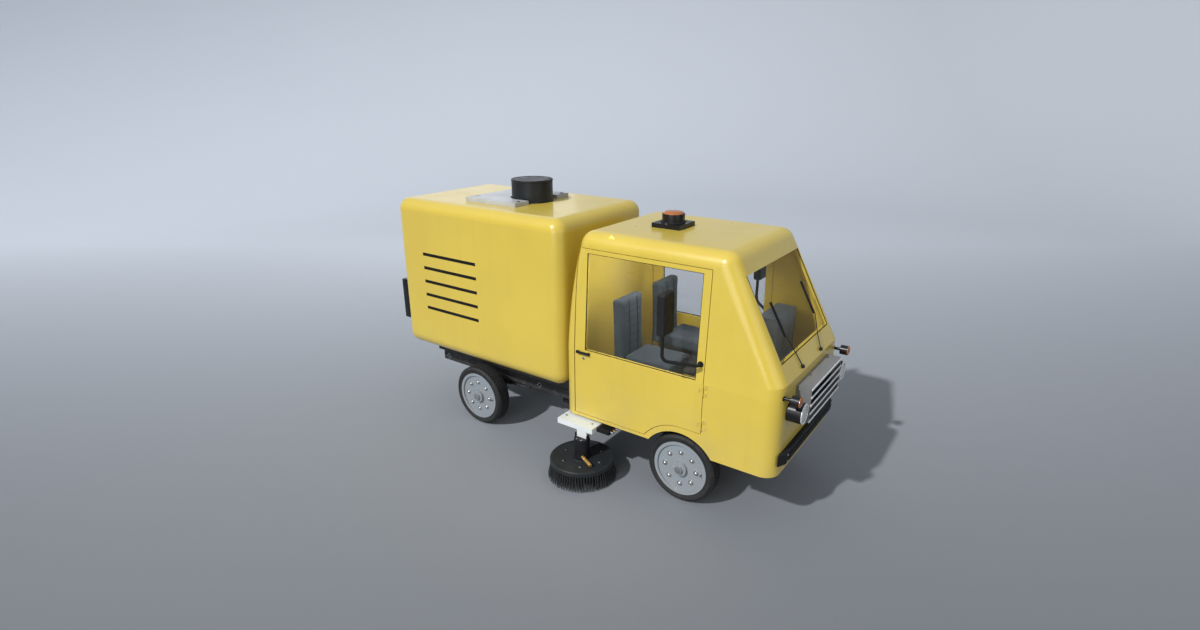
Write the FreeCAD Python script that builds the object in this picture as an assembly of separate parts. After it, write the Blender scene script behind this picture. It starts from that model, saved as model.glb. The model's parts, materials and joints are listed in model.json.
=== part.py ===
import FreeCAD, Part
import math
import os
from FreeCAD import Vector as V

# A compact street sweeper truck, in millimetres.
# +X points forward, +Y to the vehicle's left and +Z up.
# The origin is on the ground, at the middle of the length between the tail lamps and the nose.

# Overall layout
wheelbase = 2596
front_overhang = 1032
rear_overhang = 1162
wheel_track = 1276
tyre_radius = 340
tyre_width = 180
bead_radius = 249

# Cab shell
cab_width = 1520
cab_bottom = 563
cab_top = 2413
cab_wall = 40
cab_waist = 1265
cab_side_lean = 0.0585
cab_corner = 140
screen_foot = 1390
screen_slope = 0.516
rear_lean_start = 1220
rear_lean_height = 920
rear_lean_mid = 36
rear_lean_mid_height = 580
rear_lean_end = 90
rear_top_slope = 0.257
cab_roof_seam = 2300
cab_rear_seam = 80
cab_front_seam = 630

# Wheel arches
arch_radius = 389
arch_lip = 60
arch_tub_gap = 16
arch_tub_sheet = 10
arch_tub_reach = 360

# Doors, side windows and windscreen
door_length = 1374
door_front_ahead = 206
cab_rear_pillar = 150
door_sill = 600
door_top = 2262
door_gap = 6
door_rear_gap = 10
window_front_margin = 72
window_rear_margin = 118
window_bottom = 1282
window_top = 2224
glass_sheet = 6
glass_recess = 10
screen_opening_foot = 1535
screen_opening_top = 2229
screen_opening_width = 1200
door_swing_offset = 10

# Hinges
hinge_radius = 9
hinge_pin_radius = 4
hinge_knuckle = 34
hinge_leaf = 42
hinge_leaf_sheet = 4
pin_clearance = 0.05
axial_clearance = 0.5
door_hinge_heights = (860, 1190)
cross_hinge_half = 30
seat_gap = 0.3

# Hopper body
hopper_gap = 30
hopper_width = 1500
hopper_bottom = 776
hopper_top = 2490
hopper_wall = 40
hopper_corner = 130
tail_lamp_depth = 60
tail_lamp_side = 683
tail_lamp_width = 65
tail_lamp_bottom = 1060
tail_lamp_height = 470
tail_lamp_edge = 10
tailgate_width = 1120
tailgate_bottom = 930
tailgate_top = 2310
tailgate_hinge_spread = 400
tip_hinge_from_rear = 240
tip_hinge_height = 725
tip_pin_radius = 20
tip_lug_radius = 36
tip_lug_gap = 2
tip_post_radius = 40
tip_pin_proud = 12
tip_lug_sheet = 20
tip_lug_spacing = 680

# Tipping ram
ram_foot_ahead_of_tip = 245
ram_foot_rise = 13
ram_head_ahead_of_tip = 655
ram_head_drop = 34
ram_barrel_radius = 35
ram_gland_radius = 39
ram_gland_length = 40
ram_gland_gap = 70
ram_rod_radius = 16
ram_rod_root = 55
ram_bore_root = 50
ram_foot_eye_radius = 30
ram_head_eye_radius = 22
ram_eye_width = 48
ram_pin_radius = 12
ram_plate_sheet = 12
ram_foot_plate_radius = 28
ram_foot_plate_gap = 1
ram_foot_plate_rise = 10
ram_head_plate_radius = 26
ram_head_plate_gap = 3
ram_pin_proud = 8
ram_beam = 60
ram_beam_height = 90
ram_beam_behind_foot = 50
ram_port_radius = 11
ram_port_proud = 12
ram_port_from_end = 60

# Roof hatch and fan stack
stack_radius = 225
stack_height = 235
stack_from_front = 960
hatch_length = 720
hatch_width = 900
hatch_sheet = 40
hatch_overlap = 70
hatch_notch_gap = 12
hatch_corner = 14
hatch_hinge_spread = 300
hatch_hinge_gap = 11
hatch_hinge_rise = 12
hatch_leaf_sheet = 8
hatch_post_sheet = 10
stack_edge = 6
hatch_from_front = 810
hatch_hole_behind_stack = 30

# Louvres
louvre_count = 5
louvre_length = 817
louvre_height = 36
louvre_pitch = 156
louvre_lowest = 1277
louvre_from_rear = 403
louvre_depth = 24
louvre_recess = 3

# Frame
rail_height = 105
rail_width = 60
rail_bottom = 447
rail_outer = 720
rail_sheet = 6
rail_rear_setback = 165
rail_front_setback = 270
crossmember_radius = 35
crossmembers_from_hopper_rear = (250, 900)
crossmember_from_hopper_front = 640
crossmember_behind_engine = 230
crossmembers_from_front_axle = (-240, 300, 700)
subframe_width = 1100
subframe_beam = 100
subframe_bottom = 676
subframe_gap = 6
subframe_front_gap = 25
subframe_rear_gap = 60
subframe_cross_gap = 110
subframe_cross_pitch = 1175
subframe_cross = 80
riser_length = 80

# Axles, springs and steering
axle_beam = 60
axle_tube_radius = 45
differential_radius = 110
kingpin_inset = 103
kingpin_radius = 15
kingpin_eye_radius = 34
kingpin_eye_height = 70
yoke_eye_radius = 32
yoke_gap = 2
yoke_sheet = 18
yoke_offset = 37
stub_radius = 22
stub_reach = 62
steering_arm = 130
steering_arm_width = 28
track_rod_eye = 20
track_rod_pin = 10
track_rod_radius = 8
track_rod_free_gap = 2
spring_span = 900
spring_width = 60
spring_sheet = 20
spring_pad = 3
spring_eye_drop = 22
spring_eye_radius = 17.6
spring_seat_length = 90

# Engine and suction head
engine_length = 550
engine_width = 420
engine_bottom = 370
engine_height = 390
engine_behind_axle = 368
engine_corner = 20
engine_mount_inset = 120
engine_mount_length = 60
engine_mount_height = 40
tunnel_gap = 30
tunnel_sheet = 15
suction_length = 300
suction_width = 540
suction_bottom = 405
suction_height = 70
suction_behind_cab = 230
duct_radius = 90
duct_sheet = 5
hanger_rise = 15
hanger_sheet = 12
hanger_length = 80

# Wheels
rim_sheet = 12
rim_flange = 267
wheel_face_inset = 24
wheel_disc_sheet = 8
wheel_bolt_count = 8
wheel_bolt_circle = 162
wheel_bolt_radius = 18
hub_radius = 70
hub_sleeve_radius = 45
hub_gap = 2
hub_cap_radius = 38
hub_boss_proud = 30
hub_cap_proud = 52
tyre_shoulder = 26
tyre_bead_inset = 17
rim_lip_sheet = 5

# Nose fittings
bumper_width = 1400
bumper_bottom = 660
bumper_height = 120
bumper_depth = 46
bumper_taper = 90
bumper_edge = 20
grille_width = 830
grille_bottom = 1000
grille_top = 1314
grille_depth = 132
grille_sheet = 14
grille_bar_count = 5
grille_bar_height = 20
grille_bar_proud = 8
headlamp_spacing = 1062
headlamp_height = 1133
headlamp_radius = 90
headlamp_depth = 126
headlamp_lens_radius = 74
lens_sheet = 10
lens_proud = 6
lens_edge = 10
signal_spacing = 1322
signal_height = 1290
signal_radius = 45
signal_length = 70
signal_stalk_radius = 14
beacon_ahead = 760
beacon_base_size = 300
beacon_base_height = 42
beacon_radius = 108
beacon_collar = 45
beacon_dome = 62
beacon_dome_inset = 4
beacon_dome_edge = 30
cab_mount_size = 60
tow_eye_radius = 13
tow_eye_sheet = 24
tow_plate_sheet = 14
tow_plate_hole_radius = 7
tow_plate_hole_width = 150
tow_plate_hole_height = 56

# Side brushes
brush_ahead_of_cab_rear = 320
brush_side = 885
brush_disc_radius = 320
brush_disc_top = 205
brush_disc_sheet = 45
bristle_reach = 350
bristle_floor_gap = 5
bristle_band = 120
brush_motor_radius = 75
brush_motor_height = 205
brush_shaft_radius = 20
brush_motor_gap = 2
motor_ear_gap = 11
motor_ear_sheet = 8
motor_ear_width = 40
motor_ear_height = 40
brush_disc_edge = 8
bristle_root_inset = 6
brush_post_width = 116
brush_post_depth = 74
arm_reach_rear = 200
arm_reach_front = 228
arm_behind_brush = 100
arm_corner = 8
arm_neck_width = 80
arm_post_inset = 4
arm_end_gap = 1.5
arm_outer = 895
arm_inner = 460
arm_bottom = 488
arm_height = 52
arm_pivot_side = 420
arm_pivot_radius = 28
arm_pin_radius = 12
arm_bracket_sheet = 10
hose_block_length = 145
hose_block_side = 740
hose_block_width = 160
hose_block_height = 36

# Cab interior
seat_side = 360
seat_width = 430
seat_cushion_length = 540
seat_cushion_height = 150
seat_cushion_bottom = 1100
seat_back_height = 690
seat_back_depth = 120
seat_behind_console = 1175
seat_lean = 0.03
seat_base_width = 200
seat_base_inset = 40
seat_edge = 30
seat_split = 1
console_width = 500
console_top = 1650
console_depth = 190
console_bottom = 1150
console_behind_nose = 395
console_foot = 960
console_bracket_height = 160
console_face_lip = 60
steering_wheel_radius = 200
steering_wheel_grip = 14
steering_hub_radius = 45
steering_hub_depth = 30
steering_spoke_radius = 11
steering_spoke_drop = 12
steering_column_radius = 24
steering_column_root = 60
steering_wheel_tilt = 25
steering_wheel_height = 1350
steering_wheel_behind_nose = 900

# Mirrors, handles and wipers
mirror_side = 1000
mirror_height = 360
mirror_bottom = 1745
mirror_length = 80
mirror_depth = 170
mirror_ahead_of_axle = -48
mirror_tube_radius = 15
mirror_foot_radius = 26
mirror_foot_proud = 10
mirror_foot_rise = 160
mirror_edge = 20
mirror_tube_root = 40
mirror_tube_drop = 245
mirror_tube_behind = 20
mirror_tube_low_bend = 70
mirror_tube_foot_bend = 34
mirror_tube_reach = 50
handle_length = 150
handle_height = 22
handle_standoff = 16
handle_sheet = 12
handle_foot = 24
handle_below_window = 27
handle_from_door_rear = 30
wiper_pivot_radius = 16
wiper_arm_sheet = 5
wiper_lift = 14
wiper_boss_proud = 2
wiper_low_width = 10
wiper_high_width = 8
blade_thickness = 7
blade_gap = 1
near_wiper = ((-266, 1425), (-299, 1541), (-354, 1693), (-378, 1972))
far_wiper = ((210, 1425), (265, 1540), (382, 1694), (364, 1975))

# Positions worked out from the sizes above
nose_end = (wheelbase + front_overhang + rear_overhang) / 2
tail_end = -nose_end
front_axle_x = nose_end - front_overhang
rear_axle_x = tail_end + rear_overhang
wheel_side = wheel_track / 2
kingpin_spread = wheel_track - 2 * kingpin_inset
stub_end = wheel_side + stub_reach
cab_half = cab_width / 2
cab_front_x = nose_end - grille_depth - grille_bar_proud
door_front_x = front_axle_x + door_front_ahead
door_rear_x = door_front_x - door_length
cab_rear_x = door_rear_x - cab_rear_pillar
cab_length = cab_front_x - cab_rear_x
hopper_front_x = cab_rear_x - hopper_gap
hopper_rear_x = tail_end + tail_lamp_depth
hopper_half = hopper_width / 2
roof_seam_x = cab_rear_x + cab_rear_seam
front_seam_x = cab_front_x - cab_front_seam
window_front_x = door_front_x - window_front_margin
window_rear_x = door_rear_x + window_rear_margin
door_axis_x = door_front_x + door_gap / 2
door_axis_y = cab_half + door_swing_offset
rail_top = rail_bottom + rail_height
rail_side = rail_outer / 2 - rail_width / 2
stack_x = hopper_front_x - stack_from_front
hatch_front_x = hopper_front_x - hatch_from_front
hatch_rear_x = hatch_front_x - hatch_length
tip_axis_x = hopper_rear_x + tip_hinge_from_rear
ram_foot = V(tip_axis_x + ram_foot_ahead_of_tip, 0, rail_bottom + ram_foot_rise)
ram_head = V(tip_axis_x + ram_head_ahead_of_tip, 0, hopper_bottom - ram_head_drop)
brush_x = cab_rear_x + brush_ahead_of_cab_rear
engine_front_x = front_axle_x - engine_behind_axle
engine_rear_x = engine_front_x - engine_length
console_rear_x = cab_front_x - console_behind_nose - console_depth
screen_run = math.hypot(1, screen_slope)


def box(x0, x1, y0, y1, z0, z1):
    return Part.makeBox(x1 - x0, y1 - y0, z1 - z0, V(x0, y0, z0))


def rod(start, end, radius):
    return Part.makeCylinder(radius, end.sub(start).Length, start, end.sub(start))


def prism(points, direction):
    outline = [V(*p) for p in points]
    return Part.Face(Part.makePolygon(outline + outline[:1])).extrude(V(*direction))


def fused(shapes):
    return shapes[0].multiFuse(shapes[1:]).removeSplitter()


def mirrored(shape):
    return shape.mirror(V(0, 0, 0), V(0, 1, 0))


def both_sides(shapes):
    return shapes + [mirrored(shape) for shape in shapes]


def rounded(shape, radius, picks):
    edges = [edge for edge in shape.Edges if picks(edge.BoundBox)]
    return shape.makeFillet(radius, edges)


def tube_path(points, radius, bends):
    """Straight runs joined by one tangent arc at each corner, swept with a round section."""
    runs = [V(*p) for p in points]
    edges = []
    start = runs[0]
    for before, corner, after, bend in zip(runs, runs[1:], runs[2:], bends):
        back = before.sub(corner).normalize()
        ahead = after.sub(corner).normalize()
        half_turn = (math.pi - back.getAngle(ahead)) / 2
        cut = bend * math.tan(half_turn)
        first = corner.add(V(back).multiply(cut))
        last = corner.add(V(ahead).multiply(cut))
        middle_line = back.add(ahead).normalize()
        depth = bend / math.cos(half_turn) - bend
        middle = corner.add(V(middle_line).multiply(depth))
        edges.append(Part.makeLine(start, first))
        edges.append(Part.Arc(first, middle, last).toShape())
        start = last
    edges.append(Part.makeLine(start, runs[-1]))
    spine = Part.Wire(edges)
    section = Part.Wire([Part.makeCircle(radius, runs[0], runs[1].sub(runs[0]))])
    return spine.makePipeShell([section], True, False)


def save(name, shapes):
    shapes = shapes if isinstance(shapes, list) else [shapes]
    solids = [solid for shape in shapes for solid in shape.Solids]
    shape = solids[0] if len(solids) == 1 else Part.makeCompound(solids)
    shape.exportStep("parts/" + name + ".step")


def half_width_at(z):
    return cab_half - max(0, z - cab_waist) * cab_side_lean


def screen_x(z, lift=0):
    return cab_front_x - (z - screen_foot) * screen_slope + lift * screen_run


def cab_form(inset, bottom):
    """The cab's outer form, pulled in by an inset on every side but the bottom."""
    rear = cab_rear_x + inset
    front = cab_front_x - inset
    top = cab_top - inset
    lean_top = rear_lean_start + rear_lean_height
    foot = screen_foot + (cab_front_x - front - inset * screen_run) / screen_slope
    rear_foot = V(rear, 0, bottom)
    rear_bend = V(rear, 0, rear_lean_start)
    rear_mid = V(rear + rear_lean_mid, 0, rear_lean_start + rear_lean_mid_height)
    rear_high = V(rear + rear_lean_end, 0, lean_top)
    roof_rear = V(rear + rear_lean_end + (top - lean_top) * rear_top_slope, 0, top)
    roof_front = V(screen_x(top, -inset), 0, top)
    nose_high = V(front, 0, foot)
    nose_foot = V(front, 0, bottom)
    outline = [
        Part.makeLine(rear_foot, rear_bend),
        Part.Arc(rear_bend, rear_mid, rear_high).toShape(),
        Part.makeLine(rear_high, roof_rear),
        Part.makeLine(roof_rear, roof_front),
        Part.makeLine(roof_front, nose_high),
        Part.makeLine(nose_high, nose_foot),
        Part.makeLine(nose_foot, rear_foot),
    ]
    side = Part.Face(Part.Wire(outline))
    side.translate(V(0, -cab_half, 0))
    side = side.extrude(V(0, cab_width, 0))
    low = cab_half - inset
    high = half_width_at(top) - inset
    section = [(rear, -low, bottom), (rear, -low, cab_waist), (rear, -high, top)]
    section += [(rear, high, top), (rear, low, cab_waist), (rear, low, bottom)]
    form = side.common(prism(section, (cab_length, 0, 0))).removeSplitter()

    def picks(bound):
        level = bound.ZLength < 1
        seam = level and abs(bound.ZMax - top) > 1
        return not seam

    return rounded(form, cab_corner - inset, picks)


def arch_cutter(radius, y0, y1):
    centre = V(front_axle_x, y0, tyre_radius)
    return Part.makeCylinder(radius, y1 - y0, centre, V(0, 1, 0))


def screen_prism(margin):
    """A block through the windscreen opening, square to the glass."""
    half = screen_opening_width / 2 + margin
    foot = screen_opening_foot - margin
    head = screen_opening_top + margin
    deep = 2 * cab_wall
    points = []
    for y, z in ((-half, foot), (half, foot), (half, head), (-half, head)):
        points.append((screen_x(z, deep), y, z))
    return prism(points, (-2 * deep * screen_run, 0, 0))


def door_prism(gap, rear_gap):
    """The right door's outline through the whole wall, stepped up over the front half of the wheel arch."""
    y0 = -cab_half - 2 * cab_wall
    y1 = -cab_half + 5 * cab_wall
    x1 = door_front_x + gap
    block = box(door_rear_x - rear_gap, x1, y0, y1, door_sill - gap, door_top + gap)
    over_arch = arch_radius + arch_lip - gap
    step = box(front_axle_x, x1 + 1, y0, y1, door_sill - gap - 1, tyre_radius + over_arch)
    return block.cut(arch_cutter(over_arch, y0, y1)).cut(step)


def window_prism(margin):
    y0 = -cab_half - 2 * cab_wall
    y1 = -cab_half + 5 * cab_wall
    x0 = window_rear_x - margin
    x1 = window_front_x + margin
    return box(x0, x1, y0, y1, window_bottom - margin, window_top + margin)


def hinge(x, y, z, leaf_x, side):
    """One half of a butt hinge on the door's outer skin: the middle knuckle or the outer two."""
    knuckles = []
    leaf_inner = -cab_half
    leaf_outer = leaf_inner - hinge_leaf_sheet
    third = hinge_knuckle
    if side == "door":
        centre = rod(V(x, y, z), V(x, y, z + third), hinge_radius)
        leaf = box(leaf_x, x, leaf_outer, leaf_inner, z, z + third)
        bore = rod(V(x, y, z - 1), V(x, y, z + third + 1), hinge_pin_radius + pin_clearance)
        return fused([centre, leaf]).cut(bore)
    for base in (z - third - axial_clearance, z + third + axial_clearance):
        knuckles.append(rod(V(x, y, base), V(x, y, base + third), hinge_radius))
        knuckles.append(box(x, leaf_x, leaf_outer, leaf_inner, base, base + third))
    pin = rod(V(x, y, z - third - axial_clearance), V(x, y, z + 2 * third), hinge_pin_radius)
    return fused(knuckles + [pin])


def cab_panels():
    """The cab shell split where its real panels meet, with the right door set apart."""
    outer = cab_form(0, cab_bottom)
    inner = cab_form(cab_wall, cab_bottom - cab_wall)
    shell = outer.cut(inner)
    for y0, y1 in ((-cab_half - 1, -arch_tub_reach), (arch_tub_reach, cab_half + 1)):
        shell = shell.cut(arch_cutter(arch_radius, y0, y1))
    far = cab_width
    roof = shell.common(box(cab_rear_x, cab_front_x, -far, far, cab_roof_seam, cab_top))
    low = (cab_bottom - 1, cab_roof_seam)
    high_half = half_width_at(cab_roof_seam)
    rear_strip = box(cab_rear_x, roof_seam_x, -far, far, *low)
    middle_half = high_half - cab_corner - cab_wall / 2
    rear_middle = box(cab_rear_x, door_rear_x + cab_corner, -middle_half, middle_half, *low)
    rear_block = rear_strip.fuse(rear_middle).removeSplitter()
    rear = shell.common(rear_block).removeSplitter()
    front = shell.common(box(front_seam_x, cab_front_x, -far, far, *low))
    front = front.cut(screen_prism(0))
    side = shell.common(box(roof_seam_x, front_seam_x, -far, 0, *low)).cut(rear_middle)
    frame = side.cut(door_prism(door_gap, door_rear_gap))
    door = side.common(door_prism(0, 0)).cut(window_prism(0))
    for z in door_hinge_heights:
        frame = frame.fuse(hinge(door_axis_x, -door_axis_y, z, door_axis_x + hinge_leaf, "frame"))
        door = door.fuse(hinge(door_axis_x, -door_axis_y, z, door_axis_x - hinge_leaf, "door"))
    return roof, rear, front, frame, door


def door_glass():
    outer = cab_form(glass_recess, cab_bottom)
    inner = cab_form(glass_recess + glass_sheet, cab_bottom)
    return outer.cut(inner).common(window_prism(0))


def windscreen():
    outer = cab_form(glass_recess, cab_bottom)
    inner = cab_form(glass_recess + glass_sheet, cab_bottom)
    return outer.cut(inner).common(screen_prism(0))


def cab_floor():
    """The floor plate with the wheel tubs and the raised tunnel over the engine."""
    side = cab_half - cab_wall
    x0 = cab_rear_x + cab_wall
    x1 = cab_front_x - cab_wall
    top = cab_bottom + cab_wall
    plate = box(x0, x1, -side, side, cab_bottom, top)
    tub_outer = arch_radius + arch_tub_gap + arch_tub_sheet
    tub_inner = arch_radius + arch_tub_gap
    solids = [plate]
    for sign in (-1, 1):
        y0, y1 = sorted((sign * side, sign * arch_tub_reach))
        tub = arch_cutter(tub_outer, y0, y1)
        solids.append(tub.common(box(x0, x1, y0, y1, cab_bottom, cab_top)))
    tunnel_x1 = engine_front_x + tunnel_gap
    tunnel_x0 = engine_rear_x - tunnel_gap
    tunnel_y = engine_width / 2 + tunnel_gap
    tunnel_z = engine_bottom + engine_height + tunnel_gap
    sheet = tunnel_sheet
    y = tunnel_y + sheet
    solids.append(box(tunnel_x0 - sheet, tunnel_x1 + sheet, -y, y, cab_bottom, tunnel_z + sheet))
    floor = fused(solids).common(cab_form(cab_wall, cab_bottom))
    floor = floor.cut(box(tunnel_x0, tunnel_x1, -tunnel_y, tunnel_y, cab_bottom - 1, tunnel_z))
    for sign in (-1, 1):
        y0, y1 = sorted((sign * (side + 1), sign * (arch_tub_reach + arch_tub_sheet)))
        floor = floor.cut(arch_cutter(tub_inner, y0, y1))
    return floor


def frame_rails():
    x0 = hopper_rear_x + rail_rear_setback
    x1 = nose_end - rail_front_setback
    y0 = rail_outer / 2 - rail_width
    y1 = rail_outer / 2
    rail = box(x0, x1, y0, y1, rail_bottom, rail_top)
    sheet = rail_sheet
    rail = rail.cut(box(x0, x1, y0 + sheet, y1 - sheet, rail_bottom + sheet, rail_top - sheet))
    eye_z = rail_bottom + rail_height / 2
    plate = box(x1, x1 + 2 * tow_eye_sheet, y0, y1, rail_bottom, rail_top)
    hole = rod(V(x1 + tow_eye_sheet, y0, eye_z), V(x1 + tow_eye_sheet, y1, eye_z), tow_eye_radius)
    rail = fused([rail, plate.cut(hole)])
    return both_sides([rail])


def frame_crossmembers():
    z = rail_bottom + rail_height / 2
    inner = rail_outer / 2 - rail_width
    spots = [hopper_front_x - crossmember_from_hopper_front, engine_rear_x - crossmember_behind_engine]
    spots += [hopper_rear_x + ahead for ahead in crossmembers_from_hopper_rear]
    spots += [front_axle_x + ahead for ahead in crossmembers_from_front_axle]
    solids = [rod(V(x, -inner, z), V(x, inner, z), crossmember_radius) for x in spots]
    side = subframe_width / 2 - subframe_beam
    for x in subframe_cross_spots():
        beam = box(x, x + subframe_cross, -side, side, subframe_bottom, hopper_bottom - subframe_gap)
        solids.append(beam)
    return solids + [tow_plate()] + both_sides(cab_mounts())


def cab_mounts():
    """The pads between the right frame rail and the cab floor."""
    size = cab_mount_size
    spots = (cab_rear_x + 2 * size, engine_front_x + size, cab_front_x - 3 * size)
    y0 = -rail_outer / 2
    return [box(x, x + size, y0, y0 + rail_width, rail_top, cab_bottom) for x in spots]


def tow_plate():
    """The four-hole plate across the rear ends of the rails."""
    x0 = hopper_rear_x + rail_rear_setback
    inner = rail_outer / 2 - rail_width
    plate = box(x0, x0 + tow_plate_sheet, -inner, inner, rail_bottom, rail_top)
    middle = rail_bottom + rail_height / 2
    for y in (-tow_plate_hole_width / 2, tow_plate_hole_width / 2):
        for z in (middle - tow_plate_hole_height / 2, middle + tow_plate_hole_height / 2):
            plate = plate.cut(rod(V(x0 - 1, y, z), V(x0 + tow_plate_sheet + 1, y, z), tow_plate_hole_radius))
    return plate


def subframe_cross_spots():
    rear = hopper_rear_x + tip_hinge_from_rear + subframe_cross_gap
    front = hopper_front_x - subframe_front_gap - subframe_cross
    return (rear, rear + subframe_cross_pitch, front)


def hopper_subframe():
    """Side beams on risers over the frame rails, and the lugs and pins that carry the tipping hopper."""
    side = subframe_width / 2
    top = hopper_bottom - subframe_gap
    x0 = hopper_rear_x + tip_hinge_from_rear + subframe_rear_gap
    x1 = hopper_front_x - subframe_front_gap
    beam = box(x0, x1, side - subframe_beam, side, subframe_bottom, top)
    inner = rail_outer / 2 - rail_width
    solids = [beam]
    for x in subframe_cross_spots():
        solids.append(box(x, x + riser_length, inner, rail_outer / 2, rail_top, subframe_bottom))
    y1 = tip_lug_spacing / 2
    y0 = y1 - tip_lug_sheet
    half = tip_post_radius
    lug = box(tip_axis_x - half, tip_axis_x + half, y0, y1, rail_top, tip_hinge_height)
    head = rod(V(tip_axis_x, y0, tip_hinge_height), V(tip_axis_x, y1, tip_hinge_height), half)
    pin_end = y1 + tip_lug_sheet + tip_pin_proud
    pin = rod(V(tip_axis_x, y0, tip_hinge_height), V(tip_axis_x, pin_end, tip_hinge_height), tip_pin_radius)
    solids.append(fused([lug, head, pin]))
    return both_sides(solids)


def ram_point(along, side=0):
    """A point on the ram's axis, counted from the foot pin, or beside it."""
    direction = ram_head.sub(ram_foot).normalize()
    return ram_foot.add(direction.multiply(along)).add(V(0, side, 0))


def cross_pin(centre, radius, half):
    return rod(centre.add(V(0, -half, 0)), centre.add(V(0, half, 0)), radius)


def ram_barrel():
    """The ram's barrel: foot eye, tube, gland at the open end and two hose ports."""
    length = ram_head.sub(ram_foot).Length - ram_gland_gap
    half = ram_eye_width / 2
    solids = [cross_pin(ram_foot, ram_foot_eye_radius, half)]
    solids.append(rod(ram_point(ram_pin_radius), ram_point(length), ram_barrel_radius))
    solids.append(rod(ram_point(length - ram_gland_length), ram_point(length), ram_gland_radius))
    ends = (ram_foot_eye_radius + ram_port_from_end, length - ram_gland_length - ram_port_from_end)
    for along in ends:
        outer = ram_point(along, ram_barrel_radius + ram_port_proud)
        solids.append(rod(ram_point(along), outer, ram_port_radius))
    barrel = fused(solids).cut(cross_pin(ram_foot, ram_pin_radius + pin_clearance, half + 1))
    sides = box(tip_axis_x, ram_head.x, half, hopper_half, 0, ram_head.z)
    sides = sides.common(cross_pin(ram_foot, ram_foot_plate_radius + 2 * ram_foot_plate_gap, hopper_half))
    barrel = barrel.cut(sides).cut(mirrored(sides))
    return barrel.cut(rod(ram_point(ram_bore_root), ram_point(length + 1), ram_rod_radius + pin_clearance))


def ram_rod():
    """The ram's rod with the solid eye at its head."""
    reach = ram_head.sub(ram_foot).Length
    shaft = rod(ram_point(ram_rod_root), ram_point(reach), ram_rod_radius)
    return fused([shaft, cross_pin(ram_head, ram_head_eye_radius, ram_eye_width / 2)])


def ram_bracket():
    """The cross beam between the rails with the two plates and the pin at the ram's foot."""
    inner = rail_outer / 2 - rail_width
    y0 = ram_eye_width / 2 + ram_foot_plate_gap
    y1 = y0 + ram_plate_sheet
    radius = ram_foot_plate_radius
    x1 = ram_foot.x - ram_beam_behind_foot
    solids = [box(x1 - ram_beam, x1, -inner, inner, rail_bottom, rail_bottom + ram_beam_height)]
    solids.append(cross_pin(ram_foot, ram_pin_radius, y1 + ram_pin_proud))
    for a, b in ((y0, y1), (-y1, -y0)):
        solids.append(rod(V(ram_foot.x, a, ram_foot.z), V(ram_foot.x, b, ram_foot.z), radius))
        solids.append(box(x1 - 1, ram_foot.x, a, b, ram_foot.z - radius, ram_foot.z + ram_foot_plate_rise))
    return fused(solids)


def ram_lugs():
    """The left of the two plates under the hopper floor, with the outer stub of the head pin."""
    x = ram_head.x
    z = ram_head.z
    y0 = ram_eye_width / 2 + ram_head_plate_gap
    y1 = y0 + ram_plate_sheet
    radius = ram_head_plate_radius
    plate = box(x - radius, x + radius, y0, y1, z, hopper_bottom)
    head = rod(V(x, y0, z), V(x, y1, z), radius)
    return fused([plate, head, rod(V(x, y0, z), V(x, y1 + ram_pin_proud, z), ram_pin_radius)])


def hopper_block(inset):
    x0 = hopper_rear_x + inset
    x1 = hopper_front_x - inset
    side = hopper_half - inset
    block = box(x0, x1, -side, side, hopper_bottom + inset, hopper_top - inset)
    return block.makeFillet(hopper_corner - inset, block.Edges)


def hopper_panels():
    """The hopper shell split into its panels, with the tailgate and hatch openings cut."""
    shell = hopper_block(0).cut(hopper_block(hopper_wall))
    edge = hopper_corner
    far = hopper_width
    x0 = hopper_rear_x
    x1 = hopper_front_x
    floor = shell.common(box(x0, x1, -far, far, hopper_bottom, hopper_bottom + edge))
    roof = shell.common(box(x0, x1, -far, far, hopper_top - edge, hopper_top))
    middle = (hopper_bottom + edge, hopper_top - edge)
    front = shell.common(box(x1 - edge, x1, -far, far, *middle))
    rear = shell.common(box(x0, x0 + edge, -far, far, *middle))
    side = shell.common(box(x0 + edge, x1 - edge, -far, 0, *middle))
    gate = rear.common(gate_outline(door_gap))
    rear = rear.cut(gate_outline(0))
    return floor, roof, front, rear, side, gate


def gate_outline(margin):
    x0 = hopper_rear_x - 1
    x1 = hopper_rear_x + 2 * hopper_wall
    half = tailgate_width / 2 - margin
    return box(x0, x1, -half, half, tailgate_bottom + margin, tailgate_top - margin)


def louvre_boxes(recess):
    solids = []
    x0 = hopper_rear_x + louvre_from_rear
    x1 = x0 + louvre_length
    y0 = -hopper_half + recess
    for step in range(louvre_count):
        z0 = louvre_lowest + step * louvre_pitch - louvre_height / 2
        solids.append(box(x0, x1, y0, -hopper_half + louvre_depth, z0, z0 + louvre_height))
    return solids


def cross_hinge(axis_x, axis_z, y, leaf, moving):
    """A hinge along Y: the middle knuckle, or the two outer ones with the pin."""
    half = cross_hinge_half
    reach = 3 * half
    if moving:
        knuckle = rod(V(axis_x, y - half, axis_z), V(axis_x, y + half, axis_z), hinge_radius)
        fit = hinge_pin_radius + pin_clearance
        bore = rod(V(axis_x, y - reach, axis_z), V(axis_x, y + reach, axis_z), fit)
        return fused([knuckle, leaf(y - half, y + half)]).cut(bore)
    solids = [rod(V(axis_x, y - reach, axis_z), V(axis_x, y + reach, axis_z), hinge_pin_radius)]
    inner = half + axial_clearance
    for y0, y1 in ((y - reach, y - inner), (y + inner, y + reach)):
        solids.append(rod(V(axis_x, y0, axis_z), V(axis_x, y1, axis_z), hinge_radius))
        solids.append(leaf(y0, y1))
    return fused(solids)


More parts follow.
